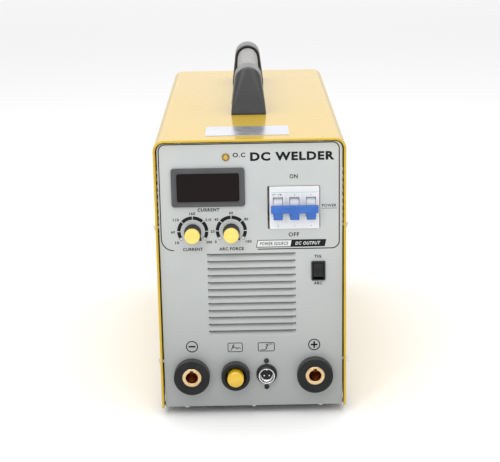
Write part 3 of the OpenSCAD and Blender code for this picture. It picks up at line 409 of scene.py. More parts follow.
louvre_low, louvre_w, louvre_n, louvre_pitch = panel_low.x + 50.75 * mm, 95.5 * mm, 12, 8 * mm
louvre_top = panel_high.z - 122 * mm
slit_h = 1.6 * mm
blade_h = louvre_pitch - 2.5 * mm
blade_deep = 4.6 * mm
for number in range(louvre_n):
    top = louvre_top - number * louvre_pitch
    plate(holes, (louvre_low, face_y - 2 * mm, top - slit_h - blade_h),
          (louvre_low + louvre_w, face_y + 5 * mm, top), 0)
cut(front, holes)

blades_bm = bmesh.new()
cheek = 3.2 * mm
for number in range(louvre_n):
    top = louvre_top - number * louvre_pitch - slit_h
    blade_at = (louvre_low + louvre_w / 2, face_y, top - blade_h / 2)
    stand = Matrix.Translation(blade_at) @ Matrix.Rotation(math.pi / 2, 4, "X")
    blade = bmesh.ops.create_grid(blades_bm, x_segments=60, y_segments=8, size=0.5,
                                  matrix=stand @ Matrix.Diagonal((louvre_w, blade_h, 1, 1)))["verts"]
    for v in blade:
        rise = min(max((v.co.z - (top - blade_h)) / blade_h, 0), 1)
        side = min(v.co.x - louvre_low, louvre_low + louvre_w - v.co.x) / cheek
        end = min(max(side, 0), 1)
        v.co.y += blade_deep * (rise ** 1.4) * end * end * (3 - 2 * end)
bmesh.ops.solidify(blades_bm, geom=blades_bm.faces, thickness=1.0 * mm)
blades = made(blades_bm, "front_louvres", grey_coat, sharp=60)
for piece in (front, blades):
    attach(piece, "chassis")
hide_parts("front_panel")

# ---------------------------------------------------------------------------------------- rear panel
# The same sheet and coating as the front, with the fan's round outlet cut through it.
rear_low, rear_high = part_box("rear_panel")
rear_y = rear_high.y
rear_bm = bmesh.new()
panel_sheet(rear_bm, rear_low, rear_high, -1)
rear = made(rear_bm, "rear_panel_sheet", grey_coat)
fan_mid = middle_of("fan_frame")
fan_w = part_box("fan_frame")[1].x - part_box("fan_frame")[0].x
duct_r = fan_w / 2 - 3 * mm
outlet = bmesh.new()
rod(outlet, duct_r, 7 * mm, (fan_mid.x, rear_y - 4 * mm, fan_mid.z), (0, 1, 0), 96)
cut(rear, outlet)
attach(rear, "chassis")
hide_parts("rear_panel")

# --------------------------------------------------------------------------------------------- cover
# One sheet of 1.2 mm steel bent over the machine, with its front and rear edges hemmed back inside,
# and a glossy yellow enamel. Three blocks of slots are punched through both sides.
yellow = finish("yellow_enamel", (0.61, 0.405, 0.030), (0.65, 0.435, 0.036), (0.24, 0.32), 900, 0.000002,
                drift_size=5, Coat_Weight=0.5, Coat_Roughness=0.05, Specular_IOR_Level=0.12)
rim_w = 2.6 * mm
hem_d = 14 * mm
cover_t = 1.2 * mm
bend_r = 12 * mm
cover_w = cover_high.x - cover_low.x
side_h = cover_high.z - cover_low.z - bend_r
front_y, back_y = cover_low.y, cover_high.y
fold_r = rim_w / 2
fold = [math.radians(a) for a in range(0, 181, 30)]
section = [(fold_r - fold_r * math.cos(a), front_y + fold_r - fold_r * math.sin(a)) for a in fold]
section += [(rim_w, front_y + hem_d), (cover_t, front_y + hem_d), (cover_t, back_y - hem_d),
            (rim_w, back_y - hem_d)]
section += [(fold_r + fold_r * math.cos(a), back_y - fold_r + fold_r * math.sin(a)) for a in fold]
cover_bm = bmesh.new()
ring = [cover_bm.verts.new((cover_low.x + inset, y, cover_low.z)) for inset, y in section]
end_face = cover_bm.faces.new(ring)


def drawn(bm, edges, shift):
    """Draws a loop of edges out along a straight line and returns the new loop."""
    out = bmesh.ops.extrude_edge_only(bm, edges=edges)["geom"]
    bmesh.ops.translate(bm, verts=[g for g in out if isinstance(g, bmesh.types.BMVert)], vec=shift)
    return [g for g in out if isinstance(g, bmesh.types.BMEdge) and g.is_boundary]


def bent(bm, edges, centre, turn):
    """Carries a loop of edges round a bend about the Y axis and returns the new loop."""
    out = bmesh.ops.spin(bm, geom=edges, axis=(0, 1, 0), cent=centre, angle=turn, steps=10)["geom_last"]
    return [g for g in out if isinstance(g, bmesh.types.BMEdge)]


loop = drawn(cover_bm, list(end_face.edges), (0, 0, side_h))
loop = bent(cover_bm, loop, (cover_low.x + bend_r, 0, cover_high.z - bend_r), math.radians(90))
loop = drawn(cover_bm, loop, (cover_w - 2 * bend_r, 0, 0))
loop = bent(cover_bm, loop, (cover_high.x - bend_r, 0, cover_high.z - bend_r), math.radians(90))
loop = drawn(cover_bm, loop, (0, 0, -side_h))
bmesh.ops.contextual_create(cover_bm, geom=loop)
cover = made(cover_bm, "folded_cover", yellow, sharp=50)

slot_l, slot_h, slot_pitch = 62 * mm, 3.2 * mm, 8 * mm
punch = bmesh.new()
for start_y, start_z, count in ((front_y + 26 * mm, cover_high.z - 100 * mm, 8),
                                ((front_y + back_y - slot_l) / 2 + 2.25 * mm, cover_low.z + 50 * mm, 9),
                                (back_y - 26 * mm - slot_l, cover_low.z + 50 * mm, 9)):
    for number in range(count):
        for side in (cover_low.x, cover_high.x):
            low_z = start_z + number * slot_pitch
            slot = plate(punch, (-slot_l / 2, -4 * mm, -slot_h / 2), (slot_l / 2, 4 * mm, slot_h / 2),
                         slot_h * 0.49, rounds=4)
            slot_at = (side, start_y + slot_l / 2, low_z + slot_h / 2)
            stand = Matrix.Translation(slot_at) @ Matrix.Rotation(math.pi / 2, 4, "Z")
            bmesh.ops.transform(punch, matrix=stand, verts=slot)
cut(cover, punch)
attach(cover, "chassis")
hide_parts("cover")

# -------------------------------------------------------------------------------------- rating label
# A thin brushed aluminium label stuck on the cover behind its front edge. It is left blank, without
# any print.
label_metal = finish("label_aluminium", (0.60, 0.61, 0.68), (0.72, 0.73, 0.80), (0.18, 0.28), 500, 0.000002,
                     stretch=(1, 22, 1), Metallic=0.75)
dress("rating_plate", label_metal)

# ------------------------------------------------------------------------------------------- handle
# Two moulded nylon brackets stand on the cover. Each tapers up to a round collar, and the two
# collars hold a tube with a soft ribbed sleeve. Screws come up from inside the cover.
nylon = finish("handle_nylon", (0.022, 0.022, 0.024), (0.034, 0.034, 0.037), (0.28, 0.38), 1500, 0.00002,
               drift_size=30, Coat_Weight=0.25, Coat_Roughness=0.2)
sleeve = finish("grip_sleeve", (0.20, 0.193, 0.188), (0.26, 0.252, 0.245), (0.36, 0.46), 1300, 0.00002,
                Coat_Weight=0.8, Coat_Roughness=0.25)
grip_low, grip_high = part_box("handle_grip")
grip_mid = (grip_low + grip_high) / 2
grip_r = (grip_high.x - grip_low.x) / 2
for node, way in (("handle_front_bracket", 1), ("handle_rear_bracket", -1)):
    low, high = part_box(node)
    width = high.x - low.x
    collar_r = high.z - grip_mid.z
    outer_y = low.y if way > 0 else high.y
    foot_l, foot_t = 60 * mm, 3 * mm
    collar_l, lean = 41 * mm, 19 * mm
    collar_back = outer_y + way * lean
    bracket_bm = bmesh.new()
    foot_low = (-width / 2, min(outer_y, outer_y + way * foot_l), low.z)
    foot_top = (width / 2, max(outer_y, outer_y + way * foot_l), low.z + foot_t)
    plate(bracket_bm, foot_low, foot_top, 0)
    collar = [(0, 0), (collar_r - 1.6 * mm, 0), (collar_r, 3 * mm), (collar_r, collar_l), (0, collar_l)]
    turned(bracket_bm, collar, (0, collar_back, grip_mid.z), axis=(0, way, 0), steps=48)
    bmesh.ops.remove_doubles(bracket_bm, verts=bracket_bm.verts, dist=2e-6)
    wrapped = bmesh.ops.convex_hull(bracket_bm, input=bracket_bm.verts)
    inside = [g for g in wrapped["geom_interior"] if isinstance(g, bmesh.types.BMVert)]
    bmesh.ops.delete(bracket_bm, geom=inside, context="VERTS")
    bmesh.ops.dissolve_limit(bracket_bm, angle_limit=math.radians(1.5), verts=bracket_bm.verts,
                             edges=bracket_bm.edges)
    soften(bracket_bm, 1.6 * mm, 3, beyond=35)
    bracket = made(bracket_bm, node + "_moulding", nylon, sharp=50)
    socket = bmesh.new()
    bore_r, mouth_r = grip_r + 0.1 * mm, collar_r - 1.2 * mm
    bore = [(0, 0), (bore_r, 0), (bore_r, 20.5 * mm), (mouth_r, 22.6 * mm), (mouth_r, 26 * mm), (0, 26 * mm)]
    turned(socket, bore, (0, collar_back + way * 19 * mm, grip_mid.z), axis=(0, way, 0), steps=48)
    cut(bracket, socket)
    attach(bracket, "chassis")
    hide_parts(node)

grip_l = grip_high.y - grip_low.y
rib = 3.4 * mm
rib_n = int((grip_l - 56 * mm) / rib)
tube_r, end_r, groove_r = grip_r - 3 * mm, grip_r - 0.5 * mm, grip_r - 0.35 * mm
outline = [(tube_r, 0), (end_r, 0), (end_r, 24 * mm), (grip_r, 25 * mm), (grip_r, 27 * mm)]
for number in range(rib_n):
    start = 28 * mm + number * rib
    outline += [(grip_r, start), (grip_r, start + 0.6 * rib), (groove_r, start + 0.7 * rib),
                (groove_r, start + 0.9 * rib)]
outline += [(grip_r, grip_l - 27 * mm), (grip_r, grip_l - 25 * mm), (end_r, grip_l - 24 * mm),
            (end_r, grip_l), (tube_r, grip_l)]
grip_bm = bmesh.new()
turned(grip_bm, outline, (0, grip_low.y, grip_mid.z), axis=(0, 1, 0), steps=64)
grip = made(grip_bm, "ribbed_grip", sleeve)
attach(grip, "chassis")
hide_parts("handle_grip")
dress("handle_screws", bright_zinc)

# ------------------------------------------------------------------------------------- ammeter bezel
# A snap-in frame of charcoal plastic. Its face slopes down to the window, which is smoked acrylic in
# front of three seven-segment digits on a small board.
charcoal = finish("bezel_charcoal", (0.060, 0.062, 0.066), (0.080, 0.082, 0.086), (0.34, 0.44), 2200, 0.00002)
smoked = finish("smoked_acrylic", (0.007, 0.004, 0.004), (0.010, 0.005, 0.005), (0.07, 0.11), 300, 0.000004,
                drift_size=14, Specular_IOR_Level=0.12)
window_low, window_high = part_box("display_window")
bezel_bm = bmesh.new()
plate(bezel_bm, bezel_low, (bezel_high.x, face_y, bezel_high.z), 3 * mm, rounds=6)
front_face = min(bezel_bm.faces, key=lambda f: f.calc_center_median().y)
bmesh.ops.inset_region(bezel_bm, faces=[front_face], thickness=1.6 * mm, depth=0)
rim_edges = [e for e in bezel_bm.edges if all(abs(v.co.y - bezel_low.y) < 1e-6 for v in e.verts)
             and any(f.calc_center_median().y > bezel_low.y + 1e-5 for f in e.link_faces)]
bmesh.ops.bevel(bezel_bm, geom=rim_edges, offset=0.9 * mm, affect="EDGES", segments=3, profile=0.5,
                material=-1)
body_low = Vector((bezel_low.x + 2 * mm, face_y - 0.4 * mm, bezel_low.z + 2 * mm))
plate(bezel_bm, body_low, (bezel_high.x - 2 * mm, bezel_high.y, bezel_high.z - 2 * mm), 1.5 * mm)
bezel = made(bezel_bm, "ammeter_bezel", charcoal)
view_hole = bmesh.new()
plate(view_hole, (window_low.x + 0.9 * mm, bezel_low.y - 2 * mm, window_low.z + 0.9 * mm),
      (window_high.x - 0.9 * mm, window_low.y - 0.1 * mm, window_high.z - 0.9 * mm), 2.6 * mm, rounds=6)
plate(view_hole, (window_low.x - 0.5 * mm, bezel_low.y - 2 * mm, window_low.z - 0.5 * mm),
      (window_high.x + 0.5 * mm, bezel_low.y + 0.7 * mm, window_high.z + 0.5 * mm), 3 * mm, rounds=6)
plate(view_hole, (window_low.x - 0.1 * mm, window_low.y - 0.11 * mm, window_low.z - 0.1 * mm),
      (window_high.x + 0.1 * mm, bezel_high.y + 2 * mm, window_high.z + 0.1 * mm), 0.5 * mm)
cut(bezel, view_hole)
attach(bezel, "chassis")
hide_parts("display_bezel")
dress("display_window", smoked)
board_green = finish("solder_mask", (0.010, 0.075, 0.028), (0.016, 0.115, 0.045), (0.22, 0.34), 160, 0.00003,
                     stretch=(1, 5, 1), drift_size=200)
dress("display_board", board_green)

# -------------------------------------------------------------------------------- over-current lamp
# A turned and lacquered brass holder pressed into the panel, with a domed amber lens.
lamp_brass = finish("lamp_brass", (0.30, 0.21, 0.05), (0.42, 0.30, 0.08), (0.2, 0.32), 900, 0.00001,
                    drift_size=300, Metallic=0.8)
amber = finish("amber_lens", (0.55, 0.32, 0.03), (0.70, 0.44, 0.06), (0.1, 0.2), 1500, 0.00002,
               drift_size=500, Coat_Weight=0.5, Coat_Roughness=0.05)
lamp_mid = middle_of("lamp_holder")
lamp_bm = bmesh.new()


def scaled(outline):
    return [(across * mm, along * mm) for across, along in outline]


def lathed(bm, outline, centre, way, steps):
    """Turns an outline in mm about an axis that runs forward (-1) or back (1)."""
    return turned(bm, scaled(outline), centre, axis=(0, way, 0), steps=steps)


flange = [(2.6, -9), (3.2, -9), (3.2, 0), (4.1, 0), (4.1, 0.6), (3.8, 1.1), (3.3, 1.4), (2.9, 1.4),
          (2.6, 1.1)]
lathed(lamp_bm, flange, (lamp_mid.x, face_y, lamp_mid.z), -1, 48)
lamp_holder = made(lamp_bm, "turned_lamp_holder", lamp_brass)
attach(lamp_holder, "chassis")
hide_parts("lamp_holder")
dress("overcurrent_lamp", amber)

# --------------------------------------------------------------------------------------------- dials
# Two potentiometers are nutted behind the panel. Each shaft carries a moulded knob with fine flutes
# and a pointer at its foot, closed by a push-in cap of pale yellow plastic.
knob_black = finish("knob_black", (0.014, 0.014, 0.015), (0.024, 0.024, 0.025), (0.38, 0.5), 2400, 0.00002,
                    Specular_IOR_Level=0.35)
cap_pale = finish("cap_pale_yellow", (0.86, 0.66, 0.15), (0.93, 0.74, 0.20), (0.42, 0.55), 1700, 0.00002,
                  drift_size=120)
shaft_steel = finish("turned_steel", (0.42, 0.42, 0.43), (0.60, 0.60, 0.61), (0.25, 0.4), 1500, 0.00001,
                     drift_size=200, Metallic=1.0)
knob_h, knob_r, cap_h = 19.5 * mm, 9.1 * mm, 4 * mm
flutes = 30
for dial, body in (("current", "current_dial"), ("arc_force", "arc_force_dial")):
    spot = middle_of(dial + "_shaft")
    centre = (spot.x, face_y, spot.z)
    knob_bm = bmesh.new()
    top = knob_h - cap_h
    bore_r = 3.1 * mm
    outline = [(bore_r, 1 * mm), (knob_r - 1 * mm, 1 * mm), (knob_r, 1.6 * mm), (knob_r, 3.2 * mm),
               (knob_r - 0.4 * mm, 3.8 * mm), (knob_r - 0.5 * mm, top - 0.9 * mm), (knob_r - 0.9 * mm, top),
               (knob_r - 1.6 * mm, top), (knob_r - 2 * mm, top - 1.5 * mm), (bore_r, top - 1.5 * mm)]
    skirt = turned(knob_bm, outline, centre, axis=(0, -1, 0), steps=6 * flutes)
    for v in skirt:
        reach = math.hypot(v.co.x - spot.x, v.co.z - spot.z)
        if reach > knob_r - 1.2 * mm and v.co.y < face_y - 3.5 * mm:
            angle = math.atan2(v.co.z - spot.z, v.co.x - spot.x)
            dip = 1 - 0.035 * max(0, math.cos(flutes * angle)) ** 2
            v.co.x = spot.x + (v.co.x - spot.x) * dip
            v.co.z = spot.z + (v.co.z - spot.z) * dip
    wedge = ((knob_r - 2.4 * mm, 0, -4 * mm), (13.4 * mm, 0, 0), (knob_r - 2.4 * mm, 0, 4 * mm))
    nose = [knob_bm.verts.new(point) for point in wedge]
    pushed = bmesh.ops.extrude_face_region(knob_bm, geom=[knob_bm.faces.new(nose)])["geom"]
    foot = [g for g in pushed if isinstance(g, bmesh.types.BMVert)]
    bmesh.ops.translate(knob_bm, verts=foot, vec=(0, 2.2 * mm, 0))
    pointing = Matrix.Rotation(math.radians(45), 4, "Y")
    stand = Matrix.Translation((spot.x, face_y - 3.2 * mm, spot.z)) @ pointing
    bmesh.ops.transform(knob_bm, matrix=stand, verts=nose + foot)
    knob = made(knob_bm, dial + "_fluted_knob", knob_black)
    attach(knob, body)
    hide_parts(dial + "_knob")

    cap_bm = bmesh.new()
    cap_r = knob_r - 0.9 * mm
    outline = [(0, top + 0.1 * mm), (cap_r, top + 0.1 * mm), (cap_r, knob_h - 0.9 * mm),
               (cap_r - 0.25 * mm, knob_h - 0.4 * mm), (cap_r - 0.8 * mm, knob_h - 0.12 * mm),
               (cap_r - 1.6 * mm, knob_h), (0, knob_h)]
    turned(cap_bm, outline, centre, axis=(0, -1, 0), steps=64)
    cap = made(cap_bm, dial + "_pushed_cap", cap_pale)
    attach(cap, body)
    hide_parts(dial + "_knob_cap")
    dress(dial + "_potentiometer", shaft_steel)
    dress(dial + "_shaft", shaft_steel)
dress("dial_nuts", bright_zinc)

# ------------------------------------------------------------------------------------------- breaker
# A three-pole breaker on its own rail. Its white nose stands out of the panel; three levers in deep
# slots are joined by one blue tie bar, which rests down in the off position.
white_shell = finish("breaker_white", (0.74, 0.75, 0.76), (0.80, 0.81, 0.82), (0.42, 0.55), 2200, 0.00002,
                     drift_size=60)
toggle_blue = finish("toggle_blue", (0.022, 0.115, 0.44), (0.034, 0.150, 0.54), (0.3, 0.42), 1900, 0.00002,
                     drift_size=120)
pole = 17.7 * mm
lever_w = 9.8 * mm
lever_gap = 0.4 * mm
toggle_low, toggle_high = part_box("breaker_handle")
hinge = next(Vector(j["pos_m"]) for j in frame["joints"] if j["name"] == "breaker_hinge")
nose_y = breaker_low.y
nose_bm = bmesh.new()
plate(nose_bm, (breaker_low.x, nose_y, breaker_mid.z - nose_h / 2),
      (breaker_high.x, face_y + 6 * mm, breaker_mid.z + nose_h / 2), 0)
plate(nose_bm, (breaker_low.x, face_y + 4.5 * mm, breaker_low.z), breaker_high, 0)
soften(nose_bm, 0.7 * mm, 3)
nose = made(nose_bm, "breaker_shell", white_shell)
pockets = bmesh.new()
for step in (-1, 0, 1):
    centre_x = hinge.x + step * pole
    pocket_left, pocket_right = centre_x - lever_w / 2 - lever_gap, centre_x + lever_w / 2 + lever_gap
    rod(pockets, 9 * mm, lever_w + 2 * lever_gap, (pocket_left, hinge.y, hinge.z), (1, 0, 0), 40)
    plate(pockets, (pocket_left, nose_y - 3 * mm, hinge.z - 13 * mm),
          (pocket_right, hinge.y - 2 * mm, hinge.z + 8.8 * mm), 0)
for step in (-0.5, 0.5):
    seam_x = hinge.x + step * pole
    plate(pockets, (seam_x - 0.15 * mm, nose_y - 1 * mm, breaker_mid.z - 25 * mm),
          (seam_x + 0.15 * mm, nose_y + 0.35 * mm, breaker_mid.z + 25 * mm), 0)
cut(nose, pockets)
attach(nose, "chassis")
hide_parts("breaker_body")


def side_profile(bm, outline, centre, width):
    """Pushes an outline of (y, z) points out to both sides of a centre, along X."""
    ring = [bm.verts.new((centre[0] - width / 2, centre[1] + y, centre[2] + z)) for y, z in outline]
    pushed = bmesh.ops.extrude_face_region(bm, geom=[bm.faces.new(ring)])["geom"]
    far = [g for g in pushed if isinstance(g, bmesh.types.BMVert)]
    bmesh.ops.translate(bm, verts=far, vec=(width, 0, 0))
    return ring + far


toggle_bm = bmesh.new()
lever = [(-5, -0.8), (-8.5, -0.8), (-17.5, 0), (-20.8, -6.5), (-15.5, -15), (-11, -14.5), (-3, -6)]
for step in (-1, 0, 1):
    centre = (hinge.x + step * pole, hinge.y, hinge.z)
    side_profile(toggle_bm, scaled(lever), centre, lever_w)
tie = [(-15, 1.5), (-20, 1.5), (-21, 0.5), (-21, -5.4), (-19.6, -6.8), (-15, -6.8)]
tie_w = 2 * pole + lever_w + 5.4 * mm
side_profile(toggle_bm, scaled(tie), hinge, tie_w)
soften(toggle_bm, 0.5 * mm, 2)
drum_bm = bmesh.new()
drum_r, drum_edge = 8.6 * mm, 0.2 * mm
for step in (-1, 0, 1):
    drum_at = (hinge.x + step * pole - lever_w / 2, hinge.y, hinge.z)
    turned(drum_bm, [(0, 0), (drum_r - drum_edge, 0), (drum_r, drum_edge), (drum_r, lever_w - drum_edge),
                     (drum_r - drum_edge, lever_w), (0, lever_w)], drum_at, axis=(1, 0, 0), steps=64)
rod(drum_bm, 2 * mm, toggle_high.x - toggle_low.x, (toggle_low.x, hinge.y, hinge.z), (1, 0, 0), 24)
toggle = made(toggle_bm, "breaker_toggle_bar", toggle_blue)
drums = made(drum_bm, "breaker_drums", white_shell)
for piece in (toggle, drums):
    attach(piece, "breaker_toggle")
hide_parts("breaker_handle")
dress("breaker_rail", bright_zinc)

# --------------------------------------------------------------------------------------- mode switch
# A snap-in rocker switch: a framed housing and a rocker whose face is hollowed for the fingertip,
# resting with its upper end pressed in.
switch_black = finish("switch_black", (0.008, 0.008, 0.009), (0.014, 0.014, 0.015), (0.3, 0.42), 2400,
                      0.00002, Specular_IOR_Level=0.3)
mode_mid = (mode_low + mode_high) / 2
housing_bm = bmesh.new()
plate(housing_bm, mode_low, (mode_high.x, face_y, mode_high.z), 1.2 * mm, rounds=4)
plate(housing_bm, (mode_low.x + 1.1 * mm, face_y - 0.4 * mm, mode_low.z + 1.1 * mm),
      (mode_high.x - 1.1 * mm, face_y + 17.5 * mm, mode_high.z - 1.1 * mm), 0)
soften(housing_bm, 0.4 * mm, 2)
housing = made(housing_bm, "mode_switch_frame", switch_black)
well = bmesh.new()
plate(well, (mode_low.x + 1.8 * mm, mode_low.y - 1 * mm, mode_low.z + 1.7 * mm),
      (mode_high.x - 1.8 * mm, mode_low.y + 15 * mm, mode_high.z - 1.7 * mm), 0.4 * mm)
cut(housing, well)
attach(housing, "chassis")
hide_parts("mode_switch_housing")
pivot = next(Vector(j["pos_m"]) for j in frame["joints"] if j["name"] == "mode_rock")
rocker_bm = bmesh.new()
curve = [(-6.5, 7.4), (-5.7, 4.6), (-5.25, 2.4), (-5.1, 0), (-5.25, -2.4), (-5.7, -4.6), (-6.5, -7.4)]
back = [(-0.5, -7.1), (4, -2), (4, 2), (-0.5, 7.1)]
rocker_w = mode_high.x - mode_low.x - 4.4 * mm
side_profile(rocker_bm, scaled(curve + back), (0, 0, 0), rocker_w)
soften(rocker_bm, 0.35 * mm, 2, beyond=50)
tipped = Matrix.Translation((mode_mid.x, pivot.y, pivot.z)) @ Matrix.Rotation(math.radians(-12), 4, "X")
bmesh.ops.transform(rocker_bm, matrix=tipped, verts=rocker_bm.verts)
rocker = made(rocker_bm, "mode_rocker_button", switch_black)
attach(rocker, "mode_rocker")
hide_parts("mode_switch_rocker")

# ----------------------------------------------------------------------------------- welding sockets
# Two sockets for the welding cables. A black moulded shell is held by a ring nut behind the panel,
# and carries a turned brass contact with a keyed bore for the plug and a stud for the inner cable.
socket_black = finish("socket_black", (0.008, 0.008, 0.009), (0.015, 0.015, 0.016), (0.38, 0.5), 1500,
                      0.00003, Specular_IOR_Level=0.25)
brass = finish("contact_brass", (0.62, 0.44, 0.23), (0.80, 0.60, 0.35), (0.22, 0.36), 700, 0.00001,
               drift_size=160, Metallic=1.0)
# The sides of the round black mouldings get a paler finish: the paler tone is a painted sheen, and the finish
# is also rougher with a deeper grain.
socket_side = finish("socket_side_texture_and_painted_sheen", (0.036, 0.036, 0.038), (0.060, 0.060, 0.062), (0.5, 0.65),
                     700, 0.00008)
worn_brass = finish("worn_brass", (0.40, 0.19, 0.065), (0.62, 0.34, 0.13), (0.25, 0.4), 700, 0.00002,
                    drift_size=220, Metallic=1.0)


def threaded(radius, start, end, pitch, depth):
    """The outline of a thread as turned ridges along a stretch."""
    turns = round(abs(end - start) / pitch)
    way = (end - start) / turns
    ridge = []
    for turn in range(turns):
        first = start + turn * way
        ridge += [(radius, first + 0.1 * way), (radius, first + 0.35 * way),
                  (radius - depth, first + 0.6 * way), (radius - depth, first + 0.85 * way)]
    return ridge


def rim_tone(piece, centre, radius):
    """Gives a round piece's second finish to every face further out than a radius."""
    for part in piece.data.polygons:
        part.material_index = int(math.hypot(part.center.x - centre[0], part.center.z - centre[2]) > radius)


for pole_name in ("negative", "positive"):
    spot = middle_of(pole_name + "_socket_shell")
    centre = (spot.x, face_y, spot.z)
    shell_bm = bmesh.new()
    lathed(shell_bm, [(10.6, 9.2), (13.2, 9.2), (13.8, 9.5), (16.8, 10.9), (17.4, 11), (19, 11),
                      (19.6, 10.7), (19.8, 10.1), (19.8, 1), (19.5, 0), (14.8, 0), (14.8, -24),
                      (10.6, -24)], centre, -1, 96)
    side_profile(shell_bm, scaled([(-11.1, 12.4), (-11.1, 16.8), (-10, 17), (-8.8, 12.2)]), centre, 2.4 * mm)
    shell = made(shell_bm, pole_name + "_moulded_shell", socket_black, socket_side)
    # Faces beyond this radius, the shell's side, take the paler finish with its painted sheen.
    rim_tone(shell, centre, 19.5 * mm)
    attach(shell, "chassis")
    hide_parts(pole_name + "_socket_shell")
    contact_bm = bmesh.new()
    lathed(contact_bm, [(0, -17.6), (4.4, -16.4), (6.5, -14.1), (6.5, 9.3), (7, 9.9), (10, 9.9),
                        (10.5, 9.5), (10.5, -27.5), (10, -28)] + threaded(4, -28.2, -41.8, 1.25, 0.5) +
           [(3.4, -42), (0, -42)], centre, -1, 72)
    contact = made(contact_bm, pole_name + "_turned_contact", brass)
    key = bmesh.new()
    plate(key, (spot.x - 2 * mm, face_y - 11 * mm, spot.z),
          (spot.x + 2 * mm, face_y - 0.9 * mm, spot.z + 8.5 * mm), 0.4 * mm)
    cut(contact, key)
    contact.data.materials.append(worn_brass)
    bore_r, bore_front, bore_back = 6.6 * mm, face_y - 9.2 * mm, face_y + 20 * mm
    for part in contact.data.polygons:
        reach = math.hypot(part.center.x - spot.x, part.center.z - spot.z)
        part.material_index = int(reach < bore_r and bore_front < part.center.y < bore_back)
    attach(contact, "chassis")
    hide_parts(pole_name + "_socket_contact")
dress("socket_nuts", bright_zinc)

# ---------------------------------------------------------------------------------------- gas outlet
# A threaded brass fitting stands in the middle of a deep black ring. A soft yellow cap is pushed
# over its thread until the torch hose is screwed on.
cap_gloss = finish("gas_cap_yellow", (0.70, 0.43, 0.012), (0.78, 0.49, 0.018), (0.2, 0.3), 900, 0.00001,
                   drift_size=90, Coat_Weight=0.8, Coat_Roughness=0.03)
spot = middle_of("gas_outlet_ring")
centre = (spot.x, face_y, spot.z)
ring_bm = bmesh.new()
lathed(ring_bm, [(8.1, 0), (8.1, 2.5), (10.8, 2.5), (10.8, 8.5), (11.2, 9.8), (12, 10.8), (12.5, 11),
                 (14.6, 11), (15.5, 10.7), (15.9, 9.8), (15.9, 0.8), (15.6, 0)], centre, -1, 80)
outlet_ring = made(ring_bm, "gas_outlet_collar", socket_black, socket_side)
# Faces beyond this radius, the collar's side, take the paler finish with its painted sheen.
rim_tone(outlet_ring, centre, 15.6 * mm)
fitting_bm = bmesh.new()
tail = (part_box("gas_outlet_fitting")[1].y - face_y) / mm
hose_tail = []
for end in (tail - 10, tail - 6.5, tail - 3):
    hose_tail += [(3.4, -end), (3.9, -end - 0.4), (3.9, -end - 1)]
lathed(fitting_bm, [(3, -tail), (3, 9.4), (3.5, 10), (7.2, 10)] + threaded(8, 9.6, 0.6, 1.5, 0.6) +
       [(8, 0), (8, -11.5), (3.9, -11.5)] + hose_tail + [(3.4, -tail)], centre, -1, 64)
lathed(fitting_bm, [(7.5, -3.5), (11, -3.5), (11, -9.5), (7.5, -9.5)], centre, -1, 6)
fitting = made(fitting_bm, "gas_outlet_thread", brass)
gas_cap_bm = bmesh.new()
lathed(gas_cap_bm, [(0, 11), (7.9, 11), (8.15, 10.7), (8.15, 4.2), (8.4, 3.9), (9, 3.9), (9.2, 4.2),
                    (9.2, 15.6), (9.05, 16.5), (8.6, 17.3), (7.8, 18), (6.6, 18.6), (5, 19), (3.4, 19.25),
                    (1.7, 19.37), (0, 19.4)], centre, -1, 80)
gas_cap = made(gas_cap_bm, "gas_outlet_push_cap", cap_gloss)
for piece, node, slot_name in ((outlet_ring, "gas_outlet_ring", "socket_black"),
                               (fitting, "gas_outlet_fitting", "contact_brass"),
                               (gas_cap, "gas_outlet_cap", "cap_yellow")):
    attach(piece, "gas_cap" if piece is gas_cap else "chassis")
    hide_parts(node)

# ------------------------------------------------------------------------------- torch switch socket
# A two-pin round socket: a chromed shell with an inner key, a black insert with two plated pins, a
# rubber ring round the shell and two screws through its flange behind the panel.
chrome = finish("chrome_plate", (0.74, 0.74, 0.75), (0.86, 0.86, 0.87), (0.08, 0.16), 500, 0.000004,
                drift_size=200, Metallic=1.0)
black_steel = finish("blackened_steel", (0.030, 0.030, 0.031), (0.055, 0.055, 0.057), (0.32, 0.45), 1500,
                     0.00001, drift_size=300, Metallic=0.6)
spot = middle_of("torch_socket_gasket")
centre = (spot.x, face_y, spot.z)
gasket_bm = bmesh.new()
lathed(gasket_bm, [(9.4, 0), (9.4, 2.3), (9.7, 2.6), (10.9, 2.6), (11.3, 2.4), (11.5, 1.9), (11.5, 0)],
       centre, -1, 72)
gasket = made(gasket_bm, "torch_socket_ring", rubber)
torch_bm = bmesh.new()
screw_z = 15.4 * mm
plate(torch_bm, (spot.x - 10 * mm, face_y + 1.6 * mm, spot.z - 19.4 * mm),
      (spot.x + 10 * mm, face_y + 3.6 * mm, spot.z + 19.4 * mm), 3 * mm)
torch_shell = made(torch_bm, "torch_socket_chromed_shell", chrome)
flange_holes = bmesh.new()
for shift, radius in ((0, 9 * mm), (-screw_z, 1.6 * mm), (screw_z, 1.6 * mm)):
    rod(flange_holes, radius, 6 * mm, (spot.x, face_y, spot.z + shift), (0, 1, 0), 40)
cut(torch_shell, flange_holes)
barrel_bm = bmesh.new()
barrel_bm.from_mesh(torch_shell.data)
lathed(barrel_bm, [(7.6, 7.3), (7.9, 7.8), (8.2, 8), (8.8, 8), (9.1, 7.8)] +
       threaded(9.3, 7.4, 0.4, 1, 0.35) + [(9.3, 0), (9.3, -13.5), (7.6, -13.5)], centre, -1, 80)
lathed(barrel_bm, [(6.1, 2.1), (6.1, 2.5), (6.5, 3), (7.65, 4.2), (7.65, 2.1)], centre, -1, 64)
plate(barrel_bm, (spot.x - 0.8 * mm, face_y - 7 * mm, spot.z + 6.7 * mm),
      (spot.x + 0.8 * mm, face_y - 1 * mm, spot.z + 8 * mm), 0.2 * mm)
crease(barrel_bm)
barrel_bm.to_mesh(torch_shell.data)
barrel_bm.free()
torch_shell.data.materials.append(black_steel)
for part in torch_shell.data.polygons:
    if math.hypot(part.center.x - spot.x, part.center.z - spot.z) > 8.7 * mm and part.center.y < face_y:
        part.material_index = 1
insert_bm = bmesh.new()
